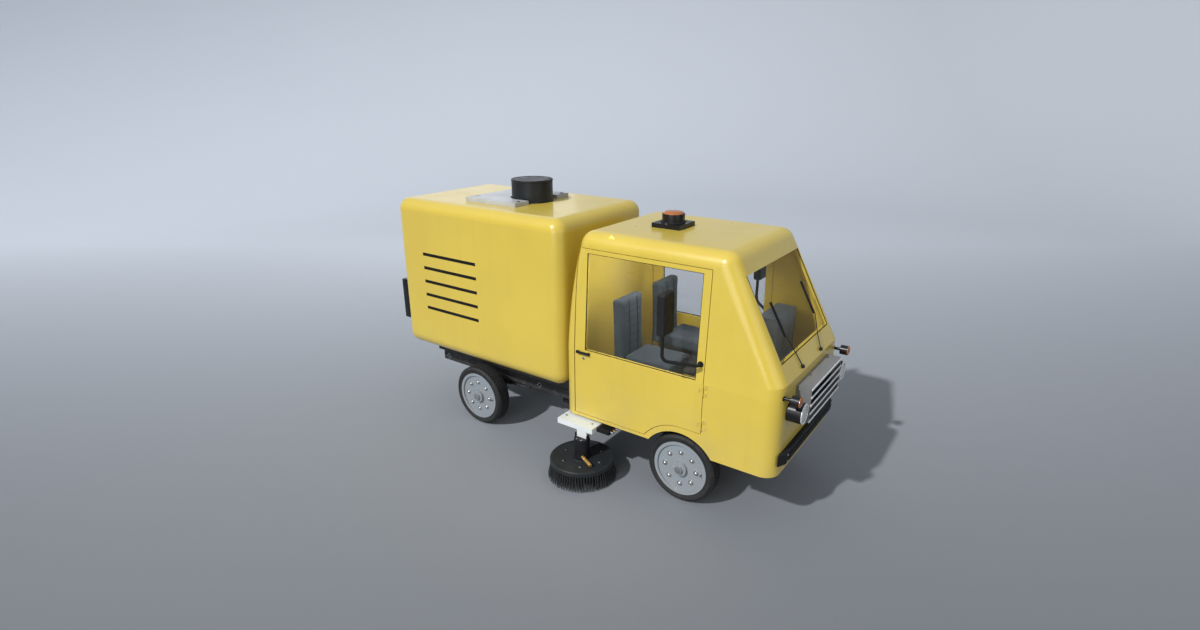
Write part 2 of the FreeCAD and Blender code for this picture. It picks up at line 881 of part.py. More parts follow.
def tailgate_hinges(moving):
    axis_x = hopper_rear_x - door_swing_offset
    axis_z = tailgate_top - door_gap / 2
    x1 = hopper_rear_x
    x0 = x1 - hinge_leaf_sheet

    def leaf(y0, y1):
        if moving:
            return box(x0, x1, y0, y1, axis_z - hinge_leaf, axis_z)
        return box(x0, x1, y0, y1, axis_z, axis_z + hinge_leaf)

    spots = (-tailgate_hinge_spread, tailgate_hinge_spread)
    return [cross_hinge(axis_x, axis_z, y, leaf, moving) for y in spots]


def hatch_axis():
    return hatch_rear_x - hatch_hinge_gap, hopper_top + hatch_hinge_rise


def hatch_hinges(moving):
    axis_x, axis_z = hatch_axis()

    def leaf(y0, y1):
        if moving:
            half = hatch_leaf_sheet / 2
            return box(axis_x, hatch_rear_x + 1, y0, y1, axis_z - half, axis_z + half)
        half = hatch_post_sheet / 2
        return box(axis_x - half, axis_x + half, y0, y1, hopper_top, axis_z)

    spots = (-hatch_hinge_spread, hatch_hinge_spread)
    return [cross_hinge(axis_x, axis_z, y, leaf, moving) for y in spots]


def hatch_lid():
    z0 = hopper_top + seat_gap
    plate = box(hatch_rear_x, hatch_front_x, -hatch_width / 2, hatch_width / 2, z0, z0 + hatch_sheet)
    plate = rounded(plate, hatch_corner, lambda bound: bound.ZLength > 1)
    clear = stack_radius + hatch_notch_gap
    z1 = z0 + 2 * hatch_sheet
    notch = rod(V(stack_x, 0, z0 - 1), V(stack_x, 0, z1), clear)
    ahead = box(stack_x, hatch_front_x + 1, -clear, clear, z0 - 1, z1)
    return fused([plate.cut(notch).cut(ahead)] + hatch_hinges(True))


def hatch_hole():
    x0 = hatch_rear_x + hatch_overlap
    x1 = stack_x - stack_radius - hatch_hole_behind_stack
    half = hatch_width / 2 - hatch_overlap
    return box(x0, x1, -half, half, hopper_top - hopper_corner, hopper_top + 1)


def fan_stack():
    stack = rod(V(stack_x, 0, hopper_top), V(stack_x, 0, hopper_top + stack_height), stack_radius)
    return rounded(stack, stack_edge, lambda bound: bound.ZMin > hopper_top + stack_height - 1)


def tip_lugs():
    y0 = tip_lug_spacing / 2 + tip_lug_gap
    y1 = y0 + tip_lug_sheet
    radius = tip_lug_radius
    plate = box(tip_axis_x - radius, tip_axis_x + radius, y0, y1, tip_hinge_height, hopper_bottom)
    head = rod(V(tip_axis_x, y0, tip_hinge_height), V(tip_axis_x, y1, tip_hinge_height), radius)
    fit = tip_pin_radius + pin_clearance
    bore = rod(V(tip_axis_x, y0 - 1, tip_hinge_height), V(tip_axis_x, y1 + 1, tip_hinge_height), fit)
    return fused([plate, head]).cut(bore)


def tail_lamps():
    y0 = tail_lamp_side - tail_lamp_width / 2
    z0 = tail_lamp_bottom
    x1 = hopper_rear_x + hopper_corner
    lamp = box(tail_end, x1, y0, y0 + tail_lamp_width, z0, z0 + tail_lamp_height)
    lamp = rounded(lamp, tail_lamp_edge, lambda bound: bound.XMax < tail_end + 1)
    return both_sides([lamp.cut(hopper_block(0))])


def front_axle():
    x = front_axle_x
    z0 = tyre_radius - axle_beam / 2
    half = kingpin_spread / 2
    solids = [box(x - axle_beam / 2, x + axle_beam / 2, -half, half, z0, z0 + axle_beam)]
    for sign in (-1, 1):
        centre = V(x, sign * half, tyre_radius - kingpin_eye_height / 2)
        solids.append(rod(centre, centre.add(V(0, 0, kingpin_eye_height)), kingpin_eye_radius))
    beam = fused(solids)
    for sign in (-1, 1):
        bore = rod(V(x, sign * half, 0), V(x, sign * half, 2 * tyre_radius), kingpin_radius + pin_clearance)
        beam = beam.cut(bore)
    return beam


def rear_axle():
    x = rear_axle_x
    z = tyre_radius
    shoulder = kingpin_spread / 2 + yoke_offset + yoke_sheet
    solids = [rod(V(x, -shoulder, z), V(x, shoulder, z), axle_tube_radius)]
    solids.append(Part.makeSphere(differential_radius, V(x, 0, z)))
    solids.append(rod(V(x, -stub_end, z), V(x, stub_end, z), stub_radius))
    return fused(solids)


def knuckle():
    """The right steering knuckle: yoke and kingpin, stub axle, steering arm and its track rod pin."""
    x = front_axle_x
    y = -kingpin_spread / 2
    low = tyre_radius - kingpin_eye_height / 2 - yoke_gap
    high = tyre_radius + kingpin_eye_height / 2 + yoke_gap
    radius = yoke_eye_radius
    web_y = y - yoke_offset
    solids = [rod(V(x, y, low - yoke_sheet), V(x, y, high + yoke_sheet), kingpin_radius)]
    for z in (low - yoke_sheet, high):
        solids.append(rod(V(x, y, z), V(x, y, z + yoke_sheet), radius))
        solids.append(box(x - radius, x + radius, web_y, y, z, z + yoke_sheet))
    solids.append(box(x - radius, x + radius, web_y - yoke_sheet, web_y, low - yoke_sheet, high + yoke_sheet))
    solids.append(rod(V(x, web_y, tyre_radius), V(x, -stub_end, tyre_radius), stub_radius))
    arm_z = low - yoke_sheet
    arm_x = x - steering_arm
    half = steering_arm_width / 2
    solids.append(box(arm_x, x, y - half, y + half, arm_z, arm_z + yoke_sheet))
    solids.append(rod(V(arm_x, y, arm_z), V(arm_x, y, arm_z + yoke_sheet), track_rod_eye))
    pin_top = arm_z + 2 * yoke_sheet + yoke_gap
    solids.append(rod(V(arm_x, y, arm_z), V(arm_x, y, pin_top), track_rod_pin))
    return fused(solids)


def track_rod():
    """The rod between the steering arms: a close bore at the right end, a loose one at the left."""
    x = front_axle_x - steering_arm
    y = kingpin_spread / 2
    arm_top = tyre_radius - kingpin_eye_height / 2 - yoke_gap
    z0 = arm_top + axial_clearance
    z1 = z0 + yoke_sheet
    middle = (z0 + z1) / 2
    solids = [rod(V(x, -y, z0), V(x, -y, z1), track_rod_eye), rod(V(x, y, z0), V(x, y, z1), track_rod_eye)]
    reach = y - (track_rod_eye + track_rod_pin) / 2
    solids.append(rod(V(x, -reach, middle), V(x, reach, middle), track_rod_radius))
    bar = fused(solids)
    bar = bar.cut(rod(V(x, -y, z0 - 1), V(x, -y, z1 + 1), track_rod_pin + pin_clearance))
    return bar.cut(rod(V(x, y, z0 - 1), V(x, y, z1 + 1), track_rod_pin + track_rod_free_gap))


def leaf_spring(axle_x, seat_z):
    """One spring pack: an arched band with an eye at each end and a pad on the axle."""
    half = spring_span / 2
    eye_z = rail_bottom - spring_eye_drop
    y0 = rail_side - spring_width / 2
    y1 = y0 + spring_width
    rear = V(axle_x - half, y0, eye_z)
    front = V(axle_x + half, y0, eye_z)
    bow = V(axle_x, y0, seat_z + spring_pad)
    up = V(0, 0, spring_sheet)
    outline = [
        Part.Arc(rear, bow, front).toShape(),
        Part.makeLine(front, front.add(up)),
        Part.Arc(front.add(up), bow.add(up), rear.add(up)).toShape(),
        Part.makeLine(rear.add(up), rear),
    ]
    solids = [Part.Face(Part.Wire(outline)).extrude(V(0, spring_width, 0))]
    radius = spring_eye_radius
    z = rail_bottom - radius
    for x in (axle_x - half, axle_x + half):
        solids.append(rod(V(x, y0, z), V(x, y1, z), radius))
        solids.append(box(x - radius, x + radius, y0, y1, z, rail_bottom))
    seat = spring_seat_length / 2
    solids.append(box(axle_x - seat, axle_x + seat, y0, y1, seat_z, seat_z + spring_pad + spring_sheet))
    return fused(solids)


def leaf_springs():
    front = leaf_spring(front_axle_x, tyre_radius + axle_beam / 2)
    rear = leaf_spring(rear_axle_x, tyre_radius + axle_tube_radius)
    return both_sides([front, rear])


def engine_block():
    x1 = front_axle_x - engine_behind_axle
    half = engine_width / 2
    block = box(x1 - engine_length, x1, -half, half, engine_bottom, engine_bottom + engine_height)
    return rounded(block, engine_corner, lambda bound: bound.ZLength > 1)


def engine_mounts():
    x1 = front_axle_x - engine_behind_axle
    inner = rail_outer / 2 - rail_width
    z0 = rail_bottom + (rail_height - engine_mount_height) / 2
    half = engine_mount_length / 2
    solids = []
    for x in (x1 - engine_length + engine_mount_inset, x1 - engine_mount_inset):
        solids.append(box(x - half, x + half, engine_width / 2, inner, z0, z0 + engine_mount_height))
    return both_sides(solids)


def suction_head():
    """The raised suction mouth between the rails and the duct that meets the hopper floor."""
    x1 = hopper_front_x - suction_behind_cab + suction_length / 2
    x0 = x1 - suction_length
    half = suction_width / 2
    z1 = suction_bottom + suction_height
    mouth = box(x0, x1, -half, half, suction_bottom, z1)
    centre = (x0 + x1) / 2
    hopper_inlet = hopper_bottom - subframe_gap
    duct = rod(V(centre, 0, z1), V(centre, 0, hopper_inlet), duct_radius)
    bore = rod(V(centre, 0, suction_bottom), V(centre, 0, hopper_inlet), duct_radius - duct_sheet)
    sheet = duct_sheet
    hollow = box(x0 + sheet, x1 - sheet, -half + sheet, half - sheet, suction_bottom, z1 - sheet)
    head = fused([mouth, duct]).cut(bore).cut(hollow)
    inner = rail_outer / 2 - rail_width
    z = rail_bottom + hanger_rise
    x0 = centre - hanger_length / 2
    hanger = box(x0, x0 + hanger_length, half, inner, z, z + hanger_sheet)
    return fused([head] + both_sides([hanger]))


def suction_inlet():
    x = hopper_front_x - suction_behind_cab
    radius = duct_radius - duct_sheet
    return rod(V(x, 0, hopper_bottom - 1), V(x, 0, hopper_bottom + hopper_wall + 1), radius)


def wheel_profile(points, x, y_centre):
    outline = [V(x, y_centre + y, tyre_radius + r) for r, y in points]
    face = Part.Face(Part.makePolygon(outline + outline[:1]))
    return face.revolve(V(x, y_centre, tyre_radius), V(0, 1, 0), 360)


def tyre(x):
    """A right-hand tyre, square shouldered with rounded corners."""
    half = tyre_width / 2
    bead_half = half - tyre_bead_inset
    shoulder = tyre_radius - tyre_shoulder
    tread_half = half - tyre_shoulder
    points = [(bead_radius, -bead_half), (shoulder, -half), (tyre_radius, -tread_half)]
    points += [(tyre_radius, tread_half), (shoulder, half), (bead_radius, bead_half)]
    return wheel_profile(points, x, -wheel_side)


def rim(x):
    """A right-hand rim: barrel with two flanges, flat disc, hub and domed wheel bolts."""
    half = tyre_width / 2
    bead_half = half - tyre_bead_inset
    side_slope = tyre_bead_inset / (tyre_radius - tyre_shoulder - bead_radius)
    seat = bead_half + (rim_flange - bead_radius) * side_slope + seat_gap
    lip = seat + rim_lip_sheet
    face = -half + wheel_face_inset
    inner = bead_radius - rim_sheet
    points = [(inner, lip), (rim_flange, lip), (rim_flange, seat), (bead_radius, seat)]
    points += [(bead_radius, -seat), (rim_flange, -seat), (rim_flange, -lip), (inner, -lip)]
    barrel = wheel_profile(points, x, -wheel_side)
    y_face = -wheel_side + face
    axis = V(x, y_face, tyre_radius)
    solids = [barrel, Part.makeCylinder(inner + 1, wheel_disc_sheet, axis, V(0, 1, 0))]
    hub_inner = -(kingpin_spread / 2 + yoke_offset + yoke_sheet) - hub_gap
    solids.append(Part.makeCylinder(hub_sleeve_radius, hub_inner - y_face, axis, V(0, 1, 0)))
    for radius, proud in ((hub_radius, hub_boss_proud), (hub_cap_radius, hub_cap_proud)):
        solids.append(Part.makeCylinder(radius, proud, V(x, y_face - proud, tyre_radius), V(0, 1, 0)))
    for step in range(wheel_bolt_count):
        turn = 2 * math.pi * step / wheel_bolt_count
        across = wheel_bolt_circle * math.cos(turn)
        bolt = V(x + across, y_face + wheel_disc_sheet / 4, tyre_radius + wheel_bolt_circle * math.sin(turn))
        solids.append(Part.makeSphere(wheel_bolt_radius, bolt, V(0, 1, 0), -90, 0, 360))
    outer = V(x, -stub_end - 1, tyre_radius)
    bore = rod(outer, V(x, 0, tyre_radius), stub_radius + pin_clearance)
    return fused(solids).cut(bore)


def bumper():
    half = bumper_width / 2
    x0 = cab_front_x
    x1 = x0 + bumper_depth
    z0 = bumper_bottom
    z1 = z0 + bumper_height
    near = half - bumper_taper
    points = [(x0, -half, z0), (x1, -near, z0), (x1, near, z0), (x0, half, z0)]
    bar = prism(points, (0, 0, z1 - z0))
    return rounded(bar, bumper_edge, lambda bound: bound.XMax > x1 - 1 and bound.ZLength < 1)


def grille_box():
    half = grille_width / 2
    x1 = cab_front_x + grille_depth
    body = box(cab_front_x, x1, -half, half, grille_bottom, grille_top)
    sheet = grille_sheet
    x0 = cab_front_x + 2 * sheet
    return body.cut(box(x0, x1, -half + sheet, half - sheet, grille_bottom + sheet, grille_top - sheet))


def grille_bars():
    half = grille_width / 2
    x1 = cab_front_x + grille_depth + grille_bar_proud
    pitch = (grille_top - grille_bottom - grille_bar_height) / (grille_bar_count - 1)
    solids = []
    for step in range(grille_bar_count):
        z = grille_bottom + step * pitch
        x0 = cab_front_x + grille_depth
        solids.append(box(x0, x1, -half, half, z, z + grille_bar_height))
    return solids


def front_lamp_housings():
    y = headlamp_spacing / 2
    x1 = cab_front_x + headlamp_depth
    lamp = rod(V(cab_front_x, y, headlamp_height), V(x1, y, headlamp_height), headlamp_radius)
    seat = rod(V(x1 - lens_sheet, y, headlamp_height), V(x1 + 1, y, headlamp_height), headlamp_lens_radius)
    y = signal_spacing / 2
    x0 = x1 - signal_length
    shell = rod(V(x0, y, signal_height), V(x1 - lens_sheet, y, signal_height), signal_radius)
    foot = cab_front_x - cab_wall
    stalk = rod(V(foot, y, signal_height), V(x0 + 1, y, signal_height), signal_stalk_radius)
    stalk = stalk.cut(cab_form(0, cab_bottom))
    return both_sides([lamp.cut(seat), fused([shell, stalk])])


def headlamp_lenses():
    y = headlamp_spacing / 2
    x1 = cab_front_x + headlamp_depth
    z = headlamp_height
    lens = rod(V(x1 - lens_sheet, y, z), V(x1 + lens_proud, y, z), headlamp_lens_radius)
    return both_sides([rounded(lens, lens_edge, lambda bound: bound.XMin > x1)])


def amber_lenses():
    y = signal_spacing / 2
    x1 = cab_front_x + headlamp_depth
    lens = rod(V(x1 - lens_sheet, y, signal_height), V(x1 + lens_proud, y, signal_height), signal_radius)
    x = cab_rear_x + beacon_ahead
    z = cab_top + beacon_base_height + beacon_collar
    dome = rod(V(x, 0, z), V(x, 0, z + beacon_dome), beacon_radius - beacon_dome_inset)
    dome = rounded(dome, beacon_dome_edge, lambda bound: bound.ZMin > z + beacon_dome - 1)
    return both_sides([lens]) + [dome]


def beacon_base():
    x = cab_rear_x + beacon_ahead
    half = beacon_base_size / 2
    plate = box(x - half, x + half, -half, half, cab_top, cab_top + beacon_base_height)
    z = cab_top + beacon_base_height
    return fused([plate, rod(V(x, 0, z), V(x, 0, z + beacon_collar), beacon_radius)])


def wiper(pivot, elbow, low, high):
    """One wiper: a boss at the foot of the screen, a thin cranked arm and a blade held off the glass."""
    normal = V(1, 0, screen_slope).normalize()

    def point(y, z, lift):
        return V(screen_x(z), y, z).add(V(normal).multiply(lift))

    def strip(start, end, half, lift, thickness):
        first = point(*start, lift)
        last = point(*end, lift)
        along = last.sub(first).normalize()
        side = along.cross(normal).multiply(half)
        first = first.sub(V(along).multiply(half))
        last = last.add(V(along).multiply(half))
        corners = [first.add(side), last.add(side), last.sub(side), first.sub(side)]
        return prism([tuple(corner) for corner in corners], tuple(V(normal).multiply(thickness)))

    boss = rod(point(*pivot, 0), point(*pivot, wiper_lift + wiper_boss_proud), wiper_pivot_radius)
    arm_lift = wiper_lift - wiper_arm_sheet
    low_arm = strip(pivot, elbow, wiper_low_width / 2, arm_lift, wiper_arm_sheet)
    high_arm = strip(elbow, low, wiper_high_width / 2, arm_lift, wiper_arm_sheet)
    blade_lift = blade_gap - glass_recess
    blade = strip(low, high, blade_thickness / 2, blade_lift, wiper_lift - blade_lift - wiper_boss_proud)
    return fused([boss, low_arm, high_arm, blade])


def dashboard():
    """The driver's console: a raised box on a bracket that reaches back from the nose panel."""
    x1 = cab_front_x - cab_wall
    rear = console_rear_x
    front = rear + console_depth
    y0 = seat_side - console_width / 2
    points = [(rear, y0, console_bottom), (rear, y0, console_top), (front, y0, console_top)]
    bracket_top = console_foot + console_bracket_height
    points += [(front, y0, console_bottom + console_face_lip), (x1, y0, bracket_top), (x1, y0, console_foot)]
    return prism(points, (0, console_width, 0))


def steering_wheel():
    x = cab_front_x - steering_wheel_behind_nose
    centre = V(x, seat_side, steering_wheel_height)
    tilt = math.radians(steering_wheel_tilt)
    axis = V(-math.cos(tilt), 0, math.sin(tilt))
    ring = Part.makeTorus(steering_wheel_radius - steering_wheel_grip, steering_wheel_grip, centre, axis)
    hub = rod(centre.sub(V(axis).multiply(steering_hub_depth)), centre, steering_hub_radius)
    solids = [ring, hub]
    across = V(0, 1, 0)
    along = axis.cross(across)
    spoke_root = centre.sub(V(axis).multiply(steering_spoke_drop))
    for turn in (90, 210, 330):
        angle = math.radians(turn)
        side = V(across).multiply(math.cos(angle))
        rise = V(along).multiply(math.sin(angle))
        tip = centre.add(side.add(rise).multiply(steering_wheel_radius - steering_wheel_grip))
        solids.append(rod(spoke_root, tip, steering_spoke_radius))
    length = (console_rear_x - x) / math.cos(tilt) + steering_column_root
    solids.append(rod(centre, centre.sub(V(axis).multiply(length)), steering_column_radius))
    return fused(solids).cut(dashboard())


def seat_solids():
    """The soft parts of the right seat: cushion, leaning backrest and head pad."""
    x0 = console_rear_x - seat_behind_console
    y0 = -seat_side - seat_width / 2
    y1 = y0 + seat_width
    z0 = seat_cushion_bottom
    z1 = z0 + seat_cushion_height
    rear = x0 + seat_back_depth
    cushion = box(rear + seat_split, rear + seat_cushion_length, y0, y1, z0, z1)
    cushion = rounded(cushion, seat_edge, lambda bound: bound.ZMax > z1 - 1)
    top = z0 + seat_back_height
    shift = seat_lean * seat_back_height
    points = [(x0, y0, z0), (rear, y0, z0), (rear - shift, y0, top), (x0 - shift, y0, top)]
    back = prism(points, (0, seat_width, 0))
    back = rounded(back, seat_edge, lambda bound: bound.ZMax > top - 1)
    return [cushion, back]


def seat_bases():
    x0 = console_rear_x - seat_behind_console
    half = seat_base_width / 2
    y = -seat_side
    x1 = x0 + seat_back_depth + seat_cushion_length - seat_base_inset
    z0 = cab_bottom + cab_wall
    base = box(x0 + seat_base_inset, x1, y - half, y + half, z0, seat_cushion_bottom - seat_gap)
    return both_sides([base.cut(cab_floor())])


def door_fittings():
    """The right mirror on its bent tube, with its foot on the door, and the outside pull handle."""
    x = front_axle_x + mirror_ahead_of_axle
    y = -mirror_side
    half = mirror_length / 2
    z1 = mirror_bottom + mirror_height
    housing = box(x - half, x + half, y - mirror_depth / 2, y + mirror_depth / 2, mirror_bottom, z1)
    housing = housing.makeFillet(mirror_edge, housing.Edges)
    foot_x = door_front_x - window_front_margin / 2
    foot_z = window_bottom + mirror_foot_rise
    skin = -half_width_at(foot_z)
    inside = skin + glass_recess
    tube_x = x - mirror_tube_behind
    points = [(tube_x, y, mirror_bottom + mirror_tube_root), (tube_x, y, mirror_bottom - mirror_tube_drop)]
    points += [(foot_x, skin - mirror_tube_reach, foot_z), (foot_x, inside, foot_z)]
    tube = tube_path(points, mirror_tube_radius, (mirror_tube_low_bend, mirror_tube_foot_bend))
    foot = rod(V(foot_x, skin - mirror_foot_proud, foot_z), V(foot_x, inside, foot_z), mirror_foot_radius)
    return [fused([housing, tube, foot]).cut(cab_form(0, cab_bottom)), door_handle()]


def door_handle():
    x0 = door_rear_x + handle_from_door_rear
    x1 = x0 + handle_length
    z1 = window_bottom - handle_below_window + handle_height / 2
    z0 = z1 - handle_height
    skin = -half_width_at(z1)
    outer = skin - handle_standoff
    solids = [box(x0, x1, outer - handle_sheet, outer, z0, z1)]
    for foot_x in (x0, x1 - handle_foot):
        solids.append(box(foot_x, foot_x + handle_foot, outer - 1, skin + glass_recess, z0, z1))
    return fused(solids).cut(cab_form(0, cab_bottom))


def brush_mounts():
    """The two plates and the pin that carry the right brush arm on the frame rail."""
    x = brush_x - arm_behind_brush
    y = -arm_pivot_side
    radius = arm_pivot_radius
    sheet = arm_bracket_sheet
    low = arm_bottom - arm_end_gap - sheet
    high = arm_bottom + arm_height + arm_end_gap
    solids = [rod(V(x, y, low), V(x, y, high + sheet), arm_pin_radius)]
    for z in (low, high):
        solids.append(rod(V(x, y, z), V(x, y, z + sheet), radius))
        solids.append(box(x - radius, x + radius, y, -rail_outer / 2, z, z + sheet))
    return fused(solids)


def brush_arm():
    """The right arm with its eye and post, and the hose block ahead of it."""
    pivot_x = brush_x - arm_behind_brush
    pivot_y = -arm_pivot_side
    top = arm_bottom + arm_height
    x0 = pivot_x - arm_reach_rear
    x1 = pivot_x + arm_reach_front
    arm = box(x0, x1, -arm_outer, -arm_inner, arm_bottom, top)
    arm = rounded(arm, arm_corner, lambda bound: bound.ZLength > 1)
    half = arm_neck_width / 2
    neck = box(pivot_x - half, pivot_x + half, -arm_inner - 1, pivot_y, arm_bottom, top)
    eye = rod(V(pivot_x, pivot_y, arm_bottom), V(pivot_x, pivot_y, top), arm_pivot_radius)
    motor_top = brush_disc_top + brush_motor_gap + brush_motor_height
    post_y = -arm_outer + arm_post_inset
    post_x = brush_x - brush_post_width / 2
    post = box(post_x, post_x + brush_post_width, post_y, post_y + brush_post_depth, motor_top, arm_bottom)
    bore = rod(V(pivot_x, pivot_y, 0), V(pivot_x, pivot_y, 2 * top), arm_pin_radius + pin_clearance)
    y0 = -hose_block_side - hose_block_width / 2
    block_top = arm_bottom + hose_block_height
    block = box(x1, x1 + hose_block_length, y0, y0 + hose_block_width, arm_bottom, block_top)
    return fused([arm, neck, eye, post]).cut(bore), block


def brush_motor():
    """The right brush motor with its shaft and the two ears that hold it beside the post."""
    x = brush_x
    y = -brush_side
    low = brush_disc_top + brush_motor_gap
    high = low + brush_motor_height
    solids = [rod(V(x, y, low), V(x, y, high), brush_motor_radius)]
    solids.append(rod(V(x, y, brush_disc_top - brush_disc_sheet), V(x, y, low), brush_shaft_radius))
    half = motor_ear_width / 2
    for ear_x in (x - brush_post_width / 2 - motor_ear_gap, x + brush_post_width / 2 + motor_ear_gap):
        x0 = ear_x - motor_ear_sheet / 2
        solids.append(box(x0, x0 + motor_ear_sheet, y - half, y + half, high - 1, high + motor_ear_height))
    return fused(solids)


def brush():
    """The right brush: a disc on the motor shaft with a flared band of bristles."""
    top = brush_disc_top
    low = top - brush_disc_sheet
    centre = (brush_x, -brush_side)
    disc = rod(V(*centre, low), V(*centre, top), brush_disc_radius)
    disc = rounded(disc, brush_disc_edge, lambda bound: bound.ZMin > top - 1)
    tips = bristle_floor_gap
    outline = [(brush_disc_radius - bristle_root_inset, low), (bristle_reach, tips)]
    outline += [(bristle_reach - bristle_band, tips), (brush_disc_radius - bristle_band, low)]
    points = [V(centre[0] + r, centre[1], z) for r, z in outline]
    band = Part.Face(Part.makePolygon(points + points[:1])).revolve(V(*centre, 0), V(0, 0, 1), 360)
    bore = rod(V(*centre, low - 1), V(*centre, top + 1), brush_shaft_radius + pin_clearance)
    return fused([disc, band]).cut(bore)


def build():
    os.makedirs("parts", exist_ok=True)
    roof, rear, front, frame, door = cab_panels()
    save("cab_roof", roof)
    save("cab_rear_wall", rear)
    save("cab_front", front)
    save("cab_sides", both_sides([frame]))
    save("cab_floor", cab_floor())
    save("windscreen", windscreen())
    glass = door_glass()
    fittings = door_fittings()
    arm, block = brush_arm()
    motor = brush_motor()
    sweep = brush()
    steer = knuckle()
    sides = {"right": lambda shape: shape, "left": mirrored}
    for side, placed in sides.items():
        save("door_" + side, placed(door))
        save("door_glass_" + side, placed(glass))
        save("door_fittings_" + side, [placed(shape) for shape in fittings])
        save("brush_arm_" + side, placed(arm))
        save("brush_motor_" + side, [placed(motor), placed(block)])
        save("brush_" + side, placed(sweep))
        save("knuckle_" + side, placed(steer))
        for end, x in (("front", front_axle_x), ("rear", rear_axle_x)):
            save("tyre_" + end + "_" + side, placed(tyre(x)))
            save("rim_" + end + "_" + side, placed(rim(x)))
    save("track_rod", track_rod())
    save("frame_rails", frame_rails())
    mounts = both_sides([brush_mounts()])
    save("frame_crossmembers", frame_crossmembers() + mounts + engine_mounts())
    save("hopper_subframe", hopper_subframe() + [ram_bracket()])
    save("ram_barrel", ram_barrel())
    save("ram_rod", ram_rod())
    save("front_axle", front_axle())
    save("rear_axle", rear_axle())
    save("leaf_springs", leaf_springs())
    save("engine_block", engine_block())
    save("suction_head", suction_head())
    save("bumper", bumper())
    save("grille_box", grille_box())
    save("grille_bars", grille_bars())
    save("lamp_housings", front_lamp_housings() + [beacon_base()])
    save("headlamp_lenses", headlamp_lenses())
    save("amber_lenses", amber_lenses())
    save("wipers", [wiper(*near_wiper), wiper(*far_wiper)])
    save("dashboard", dashboard())
    save("steering_wheel", steering_wheel())
    save("seats", both_sides(seat_solids()))
    save("seat_bases", seat_bases())
    floor, hopper_roof, hopper_front, hopper_rear, hopper_side, gate = hopper_panels()
    for slot in louvre_boxes(-1):
        hopper_side = hopper_side.cut(slot)
    save("hopper_floor", fused([floor.cut(suction_inlet())] + both_sides([tip_lugs(), ram_lugs()])))
    save("hopper_roof", fused([hopper_roof.cut(hatch_hole())] + hatch_hinges(False)))
    save("hopper_front_wall", hopper_front)
    save("hopper_rear_frame", fused([hopper_rear] + tailgate_hinges(False)))
    save("hopper_sides", both_sides([hopper_side]))
    save("hopper_louvres", both_sides(louvre_boxes(louvre_recess)))
    save("tailgate", fused([gate] + tailgate_hinges(True)))
    save("hatch_lid", hatch_lid())
    save("fan_stack", fan_stack())
    save("tail_lamps", tail_lamps())


build()
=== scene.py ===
import json
import math

import bmesh
import bpy
from bpy.props import FloatProperty, FloatVectorProperty, IntProperty, PointerProperty
from mathutils import Matrix, Vector


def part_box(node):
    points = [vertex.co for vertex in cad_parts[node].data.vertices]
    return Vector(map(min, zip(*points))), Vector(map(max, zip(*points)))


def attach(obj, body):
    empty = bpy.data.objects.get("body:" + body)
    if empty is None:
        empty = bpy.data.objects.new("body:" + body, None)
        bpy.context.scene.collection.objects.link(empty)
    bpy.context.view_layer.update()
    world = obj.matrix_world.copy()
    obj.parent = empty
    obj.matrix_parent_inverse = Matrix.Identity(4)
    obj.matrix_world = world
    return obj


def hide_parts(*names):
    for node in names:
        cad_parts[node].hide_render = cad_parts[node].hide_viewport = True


bl_info = {
    "name": "Street Sweeper Truck",
    "version": (1, 0, 0),
    "blender": (4, 5, 0),
    "location": "View3D > Sidebar > Sweeper",
    "description": "Dresses the packed street sweeper truck with finishes, trim and small parts",
    "category": "Object",
}

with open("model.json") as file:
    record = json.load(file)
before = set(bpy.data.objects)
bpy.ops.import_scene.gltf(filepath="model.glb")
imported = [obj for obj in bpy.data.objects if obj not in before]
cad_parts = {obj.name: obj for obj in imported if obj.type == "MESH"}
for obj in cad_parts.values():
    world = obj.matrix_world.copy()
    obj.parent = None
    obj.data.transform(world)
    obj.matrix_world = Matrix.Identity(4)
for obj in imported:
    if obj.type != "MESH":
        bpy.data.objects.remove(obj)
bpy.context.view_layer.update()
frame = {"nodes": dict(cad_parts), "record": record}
NODES = frame["nodes"]
SIDES = (("right", -1), ("left", 1))
WHEELS = (("front_right", -1), ("front_left", 1), ("rear_right", -1), ("rear_left", 1))

X = Vector((1, 0, 0))
Y = Vector((0, 1, 0))
Z = Vector((0, 0, 1))

# Places on the truck, in metres, and the leans of its panes
FRONT_AXLE_X = 1.363
REAR_AXLE_X = -1.233
AXLE_Z = 0.340
SPRING_Y = 0.330
CROSSMEMBER_X = (-2.085, -1.435, -0.625, 0.215, 1.123, 1.663, 2.063)
RAM_FOOT = Vector((-1.850, 0, 0.460))
RAM_HEAD = Vector((-1.440, 0, 0.742))
SKIN_Y = 0.760
HINGE_X = 1.572
HINGE_Z = (0.860, 1.190)
MIRROR_X = 1.315
DOOR_LEAN = 0.0585
SCREEN_LEAN = 0.516
SCREEN_FOOT_Z = 1.390
NOSE_X = 2.255
LAMP_X = 2.381
HEADLAMP = (0.531, 1.133)
SIGNAL = (0.661, 1.290)
BEACON = Vector((0.805, 0, 2.455))
HATCH_TOP_Z = 2.5303
HATCH_FRONT_X = -0.795
HOPPER_REAR_X = -2.335
PLINTH_TOP_Z = 1.1004
ARM_TOP_Z = 0.540
MOTOR = (0.365, 0.885)


# Settings that a user would change

def length(name, description, default):
    return FloatProperty(name=name, description=description, default=default, unit="LENGTH", precision=4)


def colour(name, description, default):
    return FloatVectorProperty(name=name, description=description, default=default, subtype="COLOR", size=3,
                               min=0, max=1)


def count(name, description, default):
    return IntProperty(name=name, description=description, default=default, min=1)


def share(name, description, default):
    return FloatProperty(name=name, description=description, default=default, min=0, max=1, subtype="FACTOR")


